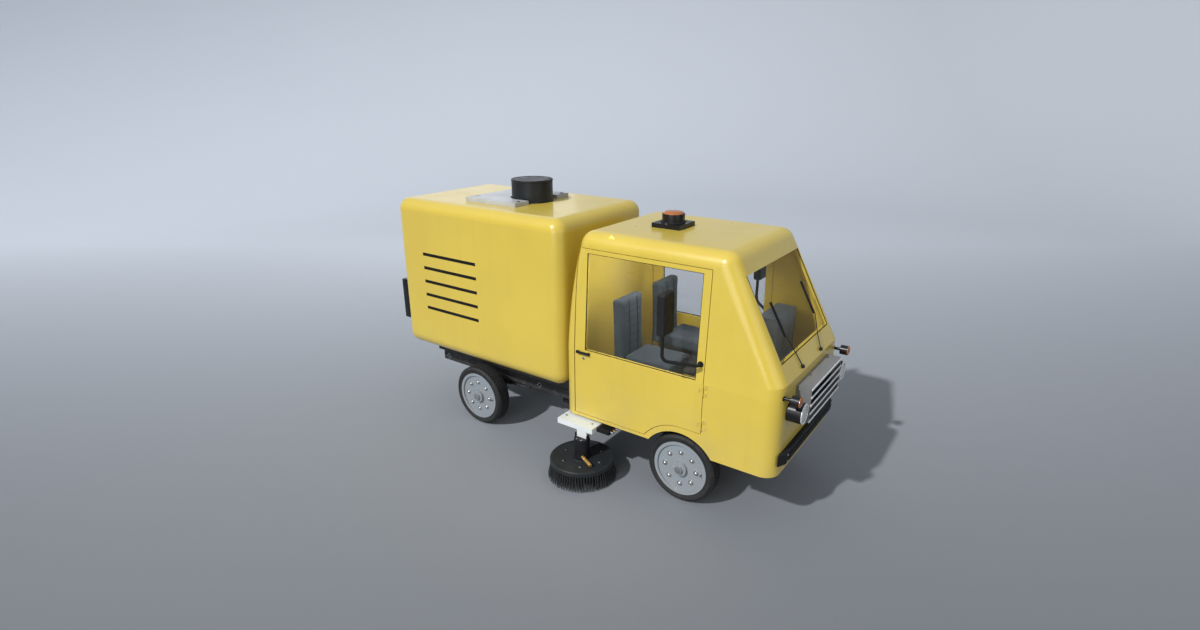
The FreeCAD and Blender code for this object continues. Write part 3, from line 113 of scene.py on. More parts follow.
class SweeperPaint(bpy.types.PropertyGroup):
    body: colour("Body paint", "Yellow of the cab and hopper", (0.630, 0.472, 0.068))
    hatch: colour("Hatch paint", "Silver-grey of the roof hatch", (0.470, 0.490, 0.510))
    arm: colour("Brush arm paint", "Off-white of the brush arms", (0.700, 0.740, 0.740))
    wheel: colour("Wheel paint", "Silver-grey of the wheel discs", (0.240, 0.275, 0.305))
    chassis: colour("Chassis paint", "Black of the frame and axles", (0.022, 0.022, 0.024))
    dust: colour("Road dust", "Dust on the lower panels", (0.300, 0.270, 0.220))
    floor: colour("Studio floor", "Pale floor and backdrop", (0.330, 0.352, 0.385))
    dustiness: share("Dustiness", "How much road dust lies on the lower panels", 0.35)
    wear: share("Edge wear", "How much paint is rubbed off the sharp edges", 0.55)


class SweeperSizes(bpy.types.PropertyGroup):
    tread_depth: length("Tread depth", "Depth of the tyre's grooves", 0.007)
    tread_blocks: count("Tread blocks", "Shoulder blocks round one tyre", 56)
    bristles: count("Bristles", "Bristles in the outer ring of a brush", 72)
    bristle_radius: length("Bristle radius", "Radius of a bristle at its root", 0.0066)
    seal_width: length("Seal width", "Width of the rubber seal round a window", 0.006)
    fin_pitch: length("Fin pitch", "Distance between the radiator fins", 0.009)
    pad_crown: length("Pad crown", "How far the seat pads swell", 0.012)


# Materials

class Finish:
    """A node material under construction around one Principled shader."""

    def __init__(self, name):
        self.material = bpy.data.materials.new(name)
        self.material.use_nodes = True
        tree = self.material.node_tree
        self.nodes = tree.nodes
        self.links = tree.links
        self.surface = self.nodes["Principled BSDF"]
        self.place = self.nodes.new("ShaderNodeTexCoord").outputs["Object"]

    def socket(self, label):
        return self.surface.inputs[label]

    def add(self, kind, links, **settings):
        """A node with its settings, and its inputs linked or given values."""
        node = self.nodes.new(kind)
        for label, value in settings.items():
            setattr(node, label, value)
        for label, value in links.items():
            if isinstance(value, bpy.types.NodeSocket):
                self.links.new(value, node.inputs[label])
            else:
                node.inputs[label].default_value = value
        return node.outputs

    def mapped(self, scale):
        return self.add("ShaderNodeMapping", {"Vector": self.place, "Scale": scale})["Vector"]

    def noise(self, scale, detail=3.0, stretch=None):
        place = self.mapped(stretch) if stretch else self.place
        return self.add("ShaderNodeTexNoise", {"Vector": place, "Scale": scale, "Detail": detail})["Fac"]

    def cells(self, scale, feature="F1"):
        return self.add("ShaderNodeTexVoronoi", {"Vector": self.place, "Scale": scale}, feature=feature)["Distance"]

    def waves(self, scale, direction):
        return self.add("ShaderNodeTexWave", {"Vector": self.place, "Scale": scale}, bands_direction=direction)["Fac"]

    def ranged(self, value, low, high, to_low=0.0, to_high=1.0):
        limits = {"Value": value, "From Min": low, "From Max": high, "To Min": to_low, "To Max": to_high}
        return self.add("ShaderNodeMapRange", limits)["Result"]

    def patches(self, scale, detail, low, high, to_low=0.0, to_high=1.0, stretch=None):
        """Noise with a part of its range stretched over another."""
        return self.ranged(self.noise(scale, detail, stretch), low, high, to_low, to_high)

    def times(self, first, second):
        return self.add("ShaderNodeMath", {0: first, 1: second}, operation="MULTIPLY")["Value"]

    def height(self):
        return self.add("ShaderNodeSeparateXYZ", {"Vector": self.place})["Z"]

    def upright(self):
        """One on walls, nought on roofs, where rain leaves no streaks."""
        normal = self.add("ShaderNodeNewGeometry", {})["Normal"]
        return self.ranged(self.add("ShaderNodeSeparateXYZ", {"Vector": normal})["Z"], 0.75, 0.35)

    def dot(self, first, second):
        return self.add("ShaderNodeVectorMath", {0: first, 1: second}, operation="DOT_PRODUCT")["Value"]

    def along(self, direction):
        """How far a point lies in a direction, in metres."""
        return self.dot(self.place, direction)

    def edges(self, radius):
        """One along sharp edges, nought on flat and gently curved faces."""
        rounded = self.add("ShaderNodeBevel", {"Radius": radius}, samples=4)["Normal"]
        flat = self.add("ShaderNodeNewGeometry", {})["Normal"]
        return self.ranged(self.dot(rounded, flat), 0.93, 0.76)

    def mixed(self, factor, first, second):
        """A colour between two, each a colour socket or three numbers."""
        node = self.nodes.new("ShaderNodeMix")
        node.data_type = "RGBA"
        self.links.new(factor, node.inputs["Factor"])
        for label, value in (("A", first), ("B", second)):
            socket = [s for s in node.inputs if s.name == label and s.type == "RGBA"][0]
            if isinstance(value, bpy.types.NodeSocket):
                self.links.new(value, socket)
            else:
                socket.default_value = (*value, 1)
        return [s for s in node.outputs if s.type == "RGBA"][0]

    def tones(self, factor, rgb, first, second):
        """Between two shades of one colour."""
        return self.mixed(factor, shaded(rgb, first), shaded(rgb, second))

    def rubbed(self, radius, *patches):
        """Wear in patches along the sharp edges."""
        return self.times(self.edges(radius), self.patches(*patches))

    def fixed(self, label, value):
        self.socket(label).default_value = value

    def colour(self, value):
        self.links.new(value, self.socket("Base Color"))

    def roughness(self, value):
        self.links.new(value, self.socket("Roughness"))

    def sheen(self, scale, detail, smooth, rough):
        """Roughness that wanders between two values in patches."""
        self.roughness(self.patches(scale, detail, 0.3, 0.7, smooth, rough))

    def bump(self, value, strength, distance):
        links = {"Height": value, "Strength": strength, "Distance": distance}
        before = self.socket("Normal").links
        if before:
            links["Normal"] = before[0].from_socket
        self.links.new(self.add("ShaderNodeBump", links)["Normal"], self.socket("Normal"))


def shaded(rgb, factor):
    return tuple(min(1.0, channel * factor) for channel in rgb)


class Paint:
    """The sprayed coats, which share the truck's dust and wear settings."""

    def __init__(self, paint):
        self.dust = tuple(paint.dust)
        self.dustiness = paint.dustiness
        self.wear = paint.wear

    def coat(self, name, rgb, roughness=0.30, dust_top=1.1, gloss=0.4, primer=(0.16, 0.155, 0.15)):
        """Cloudy sprayed paint with orange peel, faint rain streaks, low dust, stone chips and rubbed edges."""
        finish = Finish(name)
        clouds = finish.patches(1.3, 3.0, 0.35, 0.65)
        base = finish.tones(clouds, rgb, 0.965, 1.03)
        streaks = finish.patches(7.0, 4.0, 0.55, 0.85, 0.0, 0.14, stretch=(1.8, 1.8, 0.10))
        streaks = finish.times(streaks, finish.upright())
        base = finish.mixed(streaks, base, shaded(rgb, 0.66))
        low = finish.ranged(finish.height(), dust_top, 0.30, 0.0, self.dustiness)
        settled = finish.times(low, finish.patches(4.5, 6.0, 0.30, 0.72))
        base = finish.mixed(settled, base, self.dust)
        speck = finish.ranged(finish.cells(60.0), 0.055, 0.035)
        chips = finish.times(speck, finish.times(finish.patches(2.3, 2.0, 0.60, 0.66), low))
        rubbed = finish.rubbed(0.004, 22.0, 5.0, 0.50, 0.62, 0.0, self.wear)
        base = finish.mixed(chips, base, primer)
        finish.colour(finish.mixed(rubbed, base, primer))
        sheen = finish.patches(3.5, 2.0, 0.3, 0.7, roughness - 0.03, roughness + 0.06)
        dulled = finish.add("ShaderNodeMath", {0: settled, 1: 0.45, 2: sheen}, operation="MULTIPLY_ADD")["Value"]
        finish.roughness(dulled)
        finish.bump(finish.noise(380.0, 1.0), 0.02, 0.0004)
        finish.bump(rubbed, 0.25, -0.0004)
        finish.fixed("Coat Weight", gloss)
        finish.fixed("Coat Roughness", 0.10)
        return finish.material

    def underside(self, name, rgb, roughness=0.55):
        """Chassis black: brushed on thickly, with dried mud splashes and rust at the edges."""
        finish = Finish(name)
        base = finish.tones(finish.patches(5.0, 4.0, 0.3, 0.7), rgb, 0.75, 1.5)
        splashes = finish.patches(13.0, 7.0, 0.56, 0.72, 0.0, 0.30)
        base = finish.mixed(splashes, base, shaded(self.dust, 0.55))
        rust = finish.rubbed(0.005, 34.0, 5.0, 0.50, 0.64, 0.0, 0.8 * self.wear)
        finish.colour(finish.mixed(rust, base, (0.115, 0.050, 0.024)))
        finish.sheen(20.0, 4.0, roughness - 0.08, roughness + 0.22)
        finish.bump(finish.noise(150.0, 4.0), 0.12, 0.0010)
        finish.bump(splashes, 0.35, 0.0012)
        return finish.material


def grained_finish(name, rgb, roughness=0.55, grain=900.0, depth=0.0004, shift=0.2, metallic=0.0, dust=None):
    """Moulded plastic, cast metal or rubber: pebbled grain, uneven sheen, paler edges and a little dust."""
    finish = Finish(name)
    patches = finish.patches(7.0, 5.0, 0.3, 0.7)
    base = finish.tones(patches, rgb, 1 - shift, 1 + shift)
    if dust:
        base = finish.mixed(finish.patches(3.2, 6.0, 0.50, 0.80, 0.0, 0.16), base, dust)
    scuffed = finish.rubbed(0.003, 40.0, 3.0, 0.42, 0.62, 0.0, 0.6)
    finish.colour(finish.mixed(scuffed, base, shaded(rgb, 2.6)))
    finish.sheen(16.0, 4.0, roughness - 0.08, roughness + 0.12)
    finish.bump(finish.cells(grain * 0.4, "SMOOTH_F1"), 0.25, depth)
    finish.bump(finish.noise(grain, 2.0), 0.25, depth)
    finish.fixed("Metallic", metallic)
    finish.fixed("Specular IOR Level", 0.28)
    return finish.material


def metal_finish(name, rgb, roughness=0.28, brushing=(1.0, 1.0, 1.0), metallic=1.0, tarnish=None):
    """Bright metal with fine brushing, smears, scattered scratches and tarnish in patches."""
    finish = Finish(name)
    smears = finish.patches(11.0, 5.0, 0.35, 0.75)
    base = finish.tones(smears, rgb, 1.05, 0.88)
    spots = finish.patches(52.0, 6.0, 0.60, 0.74, 0.0, 0.5)
    finish.colour(finish.mixed(spots, base, tarnish or shaded(rgb, 0.6)))
    scratches = finish.noise(240.0, 3.0, brushing)
    finish.roughness(finish.patches(70.0, 5.0, 0.25, 0.75, roughness - 0.08, roughness + 0.16, stretch=brushing))
    finish.bump(scratches, 0.10, 0.0003)
    finish.fixed("Metallic", metallic)
    return finish.material


def glass_finish(name, rgb, alpha):
    """Thin tinted glass with a faint film of dust and wiped smears."""
    finish = Finish(name)
    film = finish.patches(2.6, 6.0, 0.40, 0.85)
    finish.colour(finish.mixed(film, rgb, shaded(rgb, 1.9)))
    smears = finish.noise(5.0, 5.0, (0.6, 1.0, 2.2))
    finish.links.new(finish.ranged(smears, 0.35, 0.8, alpha, alpha + 0.035), finish.socket("Alpha"))
    finish.sheen(6.0, 5.0, 0.015, 0.07)
    finish.bump(finish.noise(9.0, 2.0), 0.02, 0.0010)
    return finish.material


def lens_finish(name, rgb, direction, scale, transmission=0.35, roughness=0.12):
    """A moulded lamp lens: ribs one way, small pillow cells between them and a hazed surface; each cell is painted
    lighter in its middle and darker at its rim as a painted highlight and shade.
    """
    finish = Finish(name)
    pillows_with_painted_shade = finish.ranged(finish.cells(95.0), 0.0, 0.6)
    haze = finish.patches(9.0, 5.0, 0.35, 0.75, 0.0, 0.35)
    # Painted highlight and shade: each pillow cell is lighter in its middle and darker towards its rim
    base = finish.tones(pillows_with_painted_shade, rgb, 1.12, 0.72)
    finish.colour(finish.mixed(haze, base, shaded(rgb, 1.35)))
    finish.bump(finish.waves(scale, direction), 0.35, 0.0012)
    finish.bump(pillows_with_painted_shade, 0.12, 0.0008)
    finish.sheen(40.0, 3.0, roughness - 0.04, roughness + 0.08)
    finish.fixed("Transmission Weight", transmission)
    return finish.material


def tyre_finish(name, dust):
    """Rubber: bloomed and slightly grey, dusty in patches, with fine moulding grain and worn edges."""
    finish = Finish(name)
    patches = finish.patches(9.0, 6.0, 0.3, 0.7)
    base = finish.mixed(patches, (0.008, 0.008, 0.009), (0.017, 0.017, 0.018))
    settled = finish.patches(24.0, 6.0, 0.54, 0.82, 0.0, 0.16)
    base = finish.mixed(settled, base, shaded(dust, 0.30))
    worn = finish.rubbed(0.003, 50.0, 3.0, 0.4, 0.6, 0.0, 0.5)
    finish.colour(finish.mixed(worn, base, (0.055, 0.054, 0.052)))
    finish.sheen(35.0, 4.0, 0.60, 0.84)
    finish.bump(finish.noise(520.0, 3.0), 0.30, 0.0006)
    finish.bump(finish.noise(60.0, 3.0), 0.10, 0.0008)
    return finish.material


def woven_finish(name, rgb):
    """Seat cloth: fine crossed threads, nap that catches the light, and worn paler patches."""
    finish = Finish(name)
    worn = finish.patches(6.0, 4.0, 0.38, 0.75)
    base = finish.tones(worn, rgb, 0.85, 1.2)
    weave = finish.times(finish.waves(135.0, "Y"), finish.waves(135.0, "X"))
    weave = finish.times(weave, finish.waves(135.0, "Z"))
    finish.colour(finish.mixed(weave, base, shaded(rgb, 1.8)))
    finish.bump(weave, 0.55, 0.0010)
    finish.bump(finish.noise(800.0, 2.0), 0.3, 0.0004)
    finish.sheen(30.0, 3.0, 0.82, 0.96)
    finish.fixed("Sheen Weight", 0.08)
    finish.fixed("Sheen Roughness", 0.4)
    return finish.material


def bristle_finish(name):
    """Stiff bristles: dark at the root, paler and dusty towards the tip."""
    finish = Finish(name)
    tips = finish.ranged(finish.height(), 0.10, 0.0)
    base = finish.mixed(tips, (0.006, 0.007, 0.008), (0.020, 0.020, 0.020))
    strands = finish.patches(120.0, 2.0, 0.35, 0.7, 0.0, 0.5)
    finish.colour(finish.mixed(strands, base, (0.030, 0.031, 0.032)))
    finish.sheen(60.0, 3.0, 0.42, 0.68)
    finish.bump(finish.noise(300.0, 3.0, (1.0, 1.0, 0.1)), 0.3, 0.0005)
    return finish.material


def dial_finish(name):
    """A gauge face: matt black with fine pale rings and no marks that could be read."""
    finish = Finish(name)
    rings = finish.ranged(finish.cells(55.0, "DISTANCE_TO_EDGE"), 0.03, 0.02, 0.0, 0.35)
    finish.colour(finish.mixed(rings, (0.018, 0.019, 0.021), (0.16, 0.17, 0.18)))
    finish.sheen(30.0, 3.0, 0.30, 0.45)
    finish.bump(finish.noise(700.0, 2.0), 0.15, 0.0003)
    return finish.material


FINISHES = {}


def make_finishes(settings):
    dust = tuple(settings.dust)
    body = tuple(settings.body)
    paint = Paint(settings)
    FINISHES.update({
        "cab_paint": paint.coat("CabPaint", body),
        "hopper_paint": paint.coat("HopperPaint", shaded(body, 1.01), 0.33),
        "cab_floor_paint": paint.coat("CabFloorPaint", shaded(body, 0.72), 0.55, 1.6, 0.0),
        "hatch_paint": paint.coat("HatchPaint", tuple(settings.hatch), 0.36, 0.2, 0.15),
        "arm_paint": paint.coat("ArmPaint", tuple(settings.arm), 0.32, 0.70, 0.3),
        "rim_metal": paint.coat("WheelPaint", tuple(settings.wheel), 0.30, 0.65, 0.35),
        "seat_base_paint": paint.coat("PlinthPaint", (0.030, 0.030, 0.032), 0.5, 1.0, 0.0),
        "grille_paint": paint.coat("GrillePaint", (0.150, 0.156, 0.164), 0.40, 0.2, 0.2),
        "chassis_paint": paint.underside("ChassisPaint", tuple(settings.chassis)),
        "suction_paint": paint.underside("NozzlePaint", (0.036, 0.037, 0.040), 0.5),
        "stack_paint": grained_finish("StackCoating", (0.014, 0.016, 0.019), 0.42, 500.0, 0.0006),
        "black_trim": grained_finish("BlackTrim", (0.009, 0.009, 0.011), 0.60, 1100.0, dust=shaded(dust, 0.15)),
        "lamp_black": grained_finish("LampBlack", (0.010, 0.010, 0.012), 0.28, 1600.0, 0.0002),
        "tail_lamp": grained_finish("TailLampHousing", (0.011, 0.011, 0.012), 0.35, 1200.0, 0.0003),
        "motor_paint": grained_finish("MotorCoating", (0.010, 0.010, 0.013), 0.42, 700.0, 0.0005),
        "disc_plastic": grained_finish("BrushDisc", (0.016, 0.019, 0.022), 0.52, 900.0, 0.0004, dust=shaded(dust, 0.4)),
        "console_plastic": grained_finish("ConsolePlastic", (0.185, 0.215, 0.255), 0.58, 800.0),
        "wheel_plastic": grained_finish("SteeringPlastic", (0.020, 0.020, 0.022), 0.5, 1300.0),
        "rubber": grained_finish("SealRubber", (0.012, 0.012, 0.013), 0.72, 700.0, 0.0003),
        "cast_metal": grained_finish("CastMetal", (0.10, 0.10, 0.105), 0.6, 300.0, 0.0012, metallic=0.7,
                                     dust=shaded(dust, 0.5)),
        "fin_metal": metal_finish("RadiatorFins", (0.060, 0.062, 0.066), 0.45, (1.0, 1.0, 0.1), 0.8),
        "grille_bright": metal_finish("BrightBars", (0.90, 0.91, 0.92), 0.20, (0.1, 0.1, 1.0), 0.35),
        "steel": metal_finish("ZincSteel", (0.52, 0.53, 0.54), 0.34, tarnish=(0.30, 0.26, 0.21)),
        "ram_steel": metal_finish("RamChrome", (0.70, 0.71, 0.73), 0.14, (1.0, 1.0, 1.0)),
        "brass": metal_finish("BrassFitting", (0.74, 0.46, 0.14), 0.32, metallic=0.8, tarnish=(0.30, 0.19, 0.08)),
        "mirror": metal_finish("MirrorGlass", (0.82, 0.84, 0.86), 0.10),
        "clear_glass": glass_finish("TintedGlass", (0.12, 0.14, 0.14), 0.045),
        "lens_clear": lens_finish("ClearLens", (0.86, 0.90, 0.93), "Y", 26.0, 0.25),
        "lens_amber": lens_finish("AmberLens", (0.50, 0.165, 0.040), "Z", 40.0, 0.12),
        "tail_red": lens_finish("TailLens", (0.30, 0.012, 0.012), "Z", 30.0, 0.08),
        "bulb_glass": lens_finish("BulbGlass", (0.85, 0.84, 0.78), "X", 12.0, 0.5, 0.06),
        "dial_face": dial_finish("DialFace"),
        "tyre_rubber": tyre_finish("TyreRubber", dust),
        "seat_fabric": woven_finish("PadCloth", (0.026, 0.034, 0.041)),
        "brush_bristle": bristle_finish("Bristles"),
    })


# Meshes

def add_object(name, mesh):
    piece = bpy.data.objects.new(name, mesh)
    bpy.context.scene.collection.objects.link(piece)
    return piece


def from_bmesh(name, bm, smooth_angle=None):
    mesh = bpy.data.meshes.new(name)
    bmesh.ops.recalc_face_normals(bm, faces=bm.faces)
    bm.to_mesh(mesh)
    bm.free()
    piece = add_object(name, mesh)
    if smooth_angle is not None:
        smooth(piece, smooth_angle)
    return piece


def smooth(piece, degrees=35.0):
    piece.data.shade_smooth()
    piece.data.set_sharp_from_angle(angle=math.radians(degrees))


def turned(direction):
    """A rotation that takes +Z to a direction."""
    return Vector(direction).to_track_quat("Z", "Y").to_matrix().to_4x4()


def placed(direction, centre):
    return Matrix.Translation(Vector(centre)) @ turned(direction)


def lathe(bm, profile, matrix, steps=64):
    """Turns a profile of (radius, height) points about +Z; radius zero closes it with a fan."""
    rings = []
    for radius, height in profile:
        if radius < 1e-6:
            rings.append([bm.verts.new(matrix @ Vector((0, 0, height)))])
            continue
        ring = []
        for step in range(steps):
            turn = 2 * math.pi * step / steps
            ring.append(bm.verts.new(matrix @ Vector((radius * math.cos(turn), radius * math.sin(turn), height))))
        rings.append(ring)
    for low, high in zip(rings, rings[1:]):
        for step in range(steps):
            after = (step + 1) % steps
            if len(low) == 1:
                bm.faces.new((low[0], high[step], high[after]))
            elif len(high) == 1:
                bm.faces.new((low[step], high[0], low[after]))
            else:
                bm.faces.new((low[step], high[step], high[after], low[after]))


def block(bm, low, high):
    corners = []
    for z in (low[2], high[2]):
        for x, y in ((low[0], low[1]), (high[0], low[1]), (high[0], high[1]), (low[0], high[1])):
            corners.append(bm.verts.new((x, y, z)))
    for face in ((3, 2, 1, 0), (4, 5, 6, 7), (0, 1, 5, 4), (1, 2, 6, 5), (2, 3, 7, 6), (3, 0, 4, 7)):
        bm.faces.new([corners[index] for index in face])


def bevelled(piece, width, segments=3):
    modifier = piece.modifiers.new("Bevel", "BEVEL")
    modifier.width = width
    modifier.segments = segments
    modifier.limit_method = "ANGLE"
    modifier.angle_limit = math.radians(40)
    return applied(piece)


def evaluated(piece):
    """A plain mesh of what an object's modifiers or curve make of it."""
    depsgraph = bpy.context.evaluated_depsgraph_get()
    return bpy.data.meshes.new_from_object(piece.evaluated_get(depsgraph))


def applied(piece):
    """Replaces a piece's mesh with what its modifiers make of it."""
    mesh = evaluated(piece)
    piece.modifiers.clear()
    piece.data = mesh
    smooth(piece)
    return piece


def tube(name, points, radius, sides=4):
    """A smooth tube through points."""
    curve = bpy.data.curves.new(name, "CURVE")
    curve.dimensions = "3D"
    curve.bevel_depth = radius
    curve.bevel_resolution = sides
    curve.use_fill_caps = True
    spline = curve.splines.new("NURBS")
    spline.points.add(len(points) - 1)
    for point, place in zip(spline.points, points):
        point.co = (*place, 1)
    spline.order_u = 3
    spline.use_endpoint_u = True
    carrier = add_object(name + "_path", curve)
    mesh = evaluated(carrier)
    bpy.data.objects.remove(carrier)
    piece = add_object(name, mesh)
    smooth(piece, 50)
    return piece


def ring_strip(name, outline, width, depth, normal):
    """A rubber strip of a rectangular section round a closed flat outline."""
    bm = bmesh.new()
    normal = Vector(normal).normalized()
    middle = sum(outline, Vector()) / len(outline)
    size = len(outline)
    rings = []
    for shift, lift in ((-width / 2, 0), (width / 2, 0), (width / 2, depth), (-width / 2, depth)):
        ring = []
        for index, point in enumerate(outline):
            before = (point - outline[index - 1]).normalized()
            after = (outline[(index + 1) % size] - point).normalized()
            along = (before + after).normalized()
            side = along.cross(normal).normalized()
            if side.dot(point - middle) < 0:
                side = -side
            stretch = 1 / max(0.3, along.dot(after))
            ring.append(bm.verts.new(point + side * shift * stretch + normal * lift))
        rings.append(ring)
    for low, high in zip(rings, rings[1:] + rings[:1]):
        for index in range(size):
            after = (index + 1) % size
            bm.faces.new((low[index], high[index], high[after], low[after]))
    return from_bmesh(name, bm, 40)


def flat_corners(node, normal, across):
    """The four corners of a flat pane's outer face, in order round it."""
    normal = Vector(normal).normalized()
    across = Vector(across)
    up = normal.cross(across)
    mesh = NODES[node]
    places = [mesh.matrix_world @ vertex.co for vertex in mesh.data.vertices]
    outermost = max(place.dot(normal) for place in places)
    flat = [place for place in places if place.dot(normal) > outermost - 0.003]
    signs = ((-1, -1), (1, -1), (1, 1), (-1, 1))
    return [max(flat, key=lambda place: place.dot(across) * a + place.dot(up) * b) for a, b in signs]


def inset(outline, amount):
    """A closed outline of four corners, each moved towards its two neighbours."""
    moved = []
    for index, point in enumerate(outline):
        before = (outline[index - 1] - point).normalized()
        after = (outline[(index + 1) % 4] - point).normalized()
        moved.append(point + (before + after) * amount)
    return moved


# Geometry Nodes

SOCKETS = {int: "NodeSocketInt", float: "NodeSocketFloat", tuple: "NodeSocketVector"}


class Tree:
    """A Geometry Nodes tree under construction, with named inputs."""

    def __init__(self, name, inputs):
        self.group = bpy.data.node_groups.new(name, "GeometryNodeTree")
        interface = self.group.interface
        for label, value in inputs.items():
            socket = interface.new_socket(name=label, in_out="INPUT", socket_type=SOCKETS[type(value)])
            socket.default_value = value
        interface.new_socket(name="Finish", in_out="INPUT", socket_type="NodeSocketMaterial")
        interface.new_socket(name="Geometry", in_out="OUTPUT", socket_type="NodeSocketGeometry")
        self.inputs = self.group.nodes.new("NodeGroupInput").outputs
        self.output = self.group.nodes.new("NodeGroupOutput").inputs["Geometry"]

    def add(self, kind, links=None, **settings):
        node = self.group.nodes.new(kind)
        for label, value in settings.items():
            setattr(node, label, value)
        for label, value in (links or {}).items():
            socket = node.inputs[label]
            if isinstance(value, bpy.types.NodeSocket):
                self.group.links.new(value, socket)
            else:
                socket.default_value = value
        return node.outputs

    def maths(self, operation, first, second):
        return self.add("ShaderNodeMath", {0: first, 1: second}, operation=operation)["Value"]

    def times(self, first, second):
        return self.maths("MULTIPLY", first, second)

    def vector(self, **parts):
        return self.add("ShaderNodeCombineXYZ", parts)["Vector"]

    def vectors(self, operation, links):
        return self.add("ShaderNodeVectorMath", links, operation=operation)["Vector"]

    def circle(self, radius):
        links = {"Vertices": self.inputs["Count"], "Radius": self.inputs[radius]}
        return self.add("GeometryNodeMeshCircle", links)["Mesh"]

    def line(self, mode, offset):
        links = {"Count": self.inputs["Count"], "Start Location": self.inputs["Start"], "Offset": self.inputs[offset]}
        return self.add("GeometryNodeMeshLine", links, mode=mode)["Mesh"]

    def cube(self, size):
        return self.add("GeometryNodeMeshCube", {"Size": self.inputs[size]})["Mesh"]

    def cylinder(self, vertices, radius, depth):
        return self.add("GeometryNodeMeshCylinder", {"Vertices": vertices, "Radius": radius, "Depth": depth})["Mesh"]

    def moved(self, shape, **settings):
        return self.add("GeometryNodeTransform", {"Geometry": shape, **settings})["Geometry"]

    def copied(self, points, shape, **settings):
        return self.add("GeometryNodeInstanceOnPoints", {"Points": points, "Instance": shape, **settings})["Instances"]

    def facing(self, vector, axis="Z", **settings):
        return self.add("FunctionNodeAlignRotationToVector", {"Vector": vector}, axis=axis, **settings)["Rotation"]

    def joined(self, *shapes):
        node = self.group.nodes.new("GeometryNodeJoinGeometry")
        for shape in shapes:
            self.group.links.new(shape, node.inputs["Geometry"])
        return node.outputs["Geometry"]

    def finish(self, shape):
        real = self.add("GeometryNodeRealizeInstances", {"Geometry": shape})["Geometry"]
        painted = self.add("GeometryNodeSetMaterial", {"Geometry": real, "Material": self.inputs["Finish"]})
        self.group.links.new(painted["Geometry"], self.output)
        return self.group


def grow(name, group, finish, matrix=Matrix.Identity(4), **values):
    """Runs a tree on a carrier and leaves one plain mesh, moved to its place."""
    carrier = add_object(name + "_carrier", bpy.data.meshes.new(name))
    modifier = carrier.modifiers.new("Shape", "NODES")
    modifier.node_group = group
    for item in group.interface.items_tree:
        if item.in_out == "INPUT":
            modifier[item.identifier] = FINISHES[finish] if item.name == "Finish" else values[item.name]
    mesh = evaluated(carrier)
    bpy.data.objects.remove(carrier)
    mesh.transform(matrix)
    piece = add_object(name, mesh)
    smooth(piece)
    return piece


def bolt_head(tree):
    """A hex head on a round washer, standing on the origin along +Z."""
    radius = tree.inputs["Head Radius"]
    washer = tree.cylinder(16, tree.times(radius, 1.45), tree.times(radius, 0.35))
    head = tree.cylinder(6, radius, tree.times(radius, 1.5))
    return tree.joined(washer, head)


def wheel_nut(tree):
    """A dome on a wider round collar."""
    radius = tree.inputs["Head Radius"]
    dome = tree.add("GeometryNodeMeshUVSphere", {"Segments": 18, "Rings": 10, "Radius": radius})["Mesh"]
    collar = tree.cylinder(24, tree.times(radius, 1.28), tree.times(radius, 0.42))
    return tree.joined(collar, dome)


def ring_tree(name, head):
    """Heads of one kind round a circle in the XY plane."""
    tree = Tree(name, {"Count": 8, "Circle Radius": 0.1, "Head Radius": 0.01})
    return tree.finish(tree.copied(tree.circle("Circle Radius"), head(tree)))


def bolt_ring_tree():
    return ring_tree("BoltRing", bolt_head)


def stud_ring_tree():
    return ring_tree("StudRing", wheel_nut)


def bolt_row_tree():
    """Bolt heads on a straight line, all facing one way."""
    tree = Tree("BoltRow", {"Count": 4, "Start": (0, 0, 0), "End": (1, 0, 0), "Facing": (0, 0, 1), "Head Radius": 0.01})
    line = tree.line("END_POINTS", "End")
    return tree.finish(tree.copied(line, bolt_head(tree), Rotation=tree.facing(tree.inputs["Facing"])))


def tread_tree():
    """Two rings of shoulder blocks about +Z, turned half a pitch to each other."""
    tree = Tree("TreadBlocks", {"Count": 48, "Radius": 0.3, "Half Width": 0.06, "Block": (0.01, 0.02, 0.03),
                                "Slant": 0.2})
    sides = []
    for sign in (-1.0, 1.0):
        circle = tree.circle("Radius")
        cube = tree.cube("Block")
        slant = tree.vector(X=tree.times(tree.inputs["Slant"], sign))
        outward = tree.facing(tree.add("GeometryNodeInputPosition")["Position"], "X", pivot_axis="Z")
        ring = tree.copied(circle, tree.moved(cube, Rotation=slant), Rotation=outward)
        lift = tree.vector(Z=tree.times(tree.inputs["Half Width"], sign))
        turn = tree.vector(Z=tree.maths("DIVIDE", math.pi * max(sign, 0.0), tree.inputs["Count"]))
        sides.append(tree.moved(ring, Translation=lift, Rotation=turn))
    return tree.finish(tree.joined(*sides))


def bristle_tree():
    """One ring of tapered bristles hanging from a circle and flaring outwards, unevenly."""
    tree = Tree("BristleRing", {"Count": 90, "Radius": 0.3, "Root Radius": 0.003, "Reach": 0.15, "Flare": 0.2,
                                "Seed": 1})
    circle = tree.circle("Radius")
    root = tree.inputs["Root Radius"]
    links = {"Vertices": 7, "Side Segments": 2, "Radius Bottom": root, "Radius Top": tree.times(root, 0.75),
             "Depth": tree.inputs["Reach"]}
    cone = tree.add("GeometryNodeMeshCone", links)["Mesh"]
    outward = tree.vectors("NORMALIZE", {0: tree.add("GeometryNodeInputPosition")["Position"]})
    flare = tree.vectors("SCALE", {"Vector": outward, "Scale": tree.inputs["Flare"]})
    spread_out = {0: (-0.030, -0.030, 0.0), 1: (0.030, 0.030, 0.0), "Seed": tree.inputs["Seed"]}
    jitter = tree.add("FunctionNodeRandomValue", spread_out, data_type="FLOAT_VECTOR")["Value"]
    lean = tree.vectors("ADD", {0: flare, 1: jitter})
    down = tree.vectors("ADD", {0: lean, 1: (0, 0, -1)})
    sizes = {2: 0.955, 3: 1.0, "Seed": tree.inputs["Seed"]}
    size = tree.add("FunctionNodeRandomValue", sizes, data_type="FLOAT")[1]
    return tree.finish(tree.copied(circle, cone, Rotation=tree.facing(down), Scale=size))


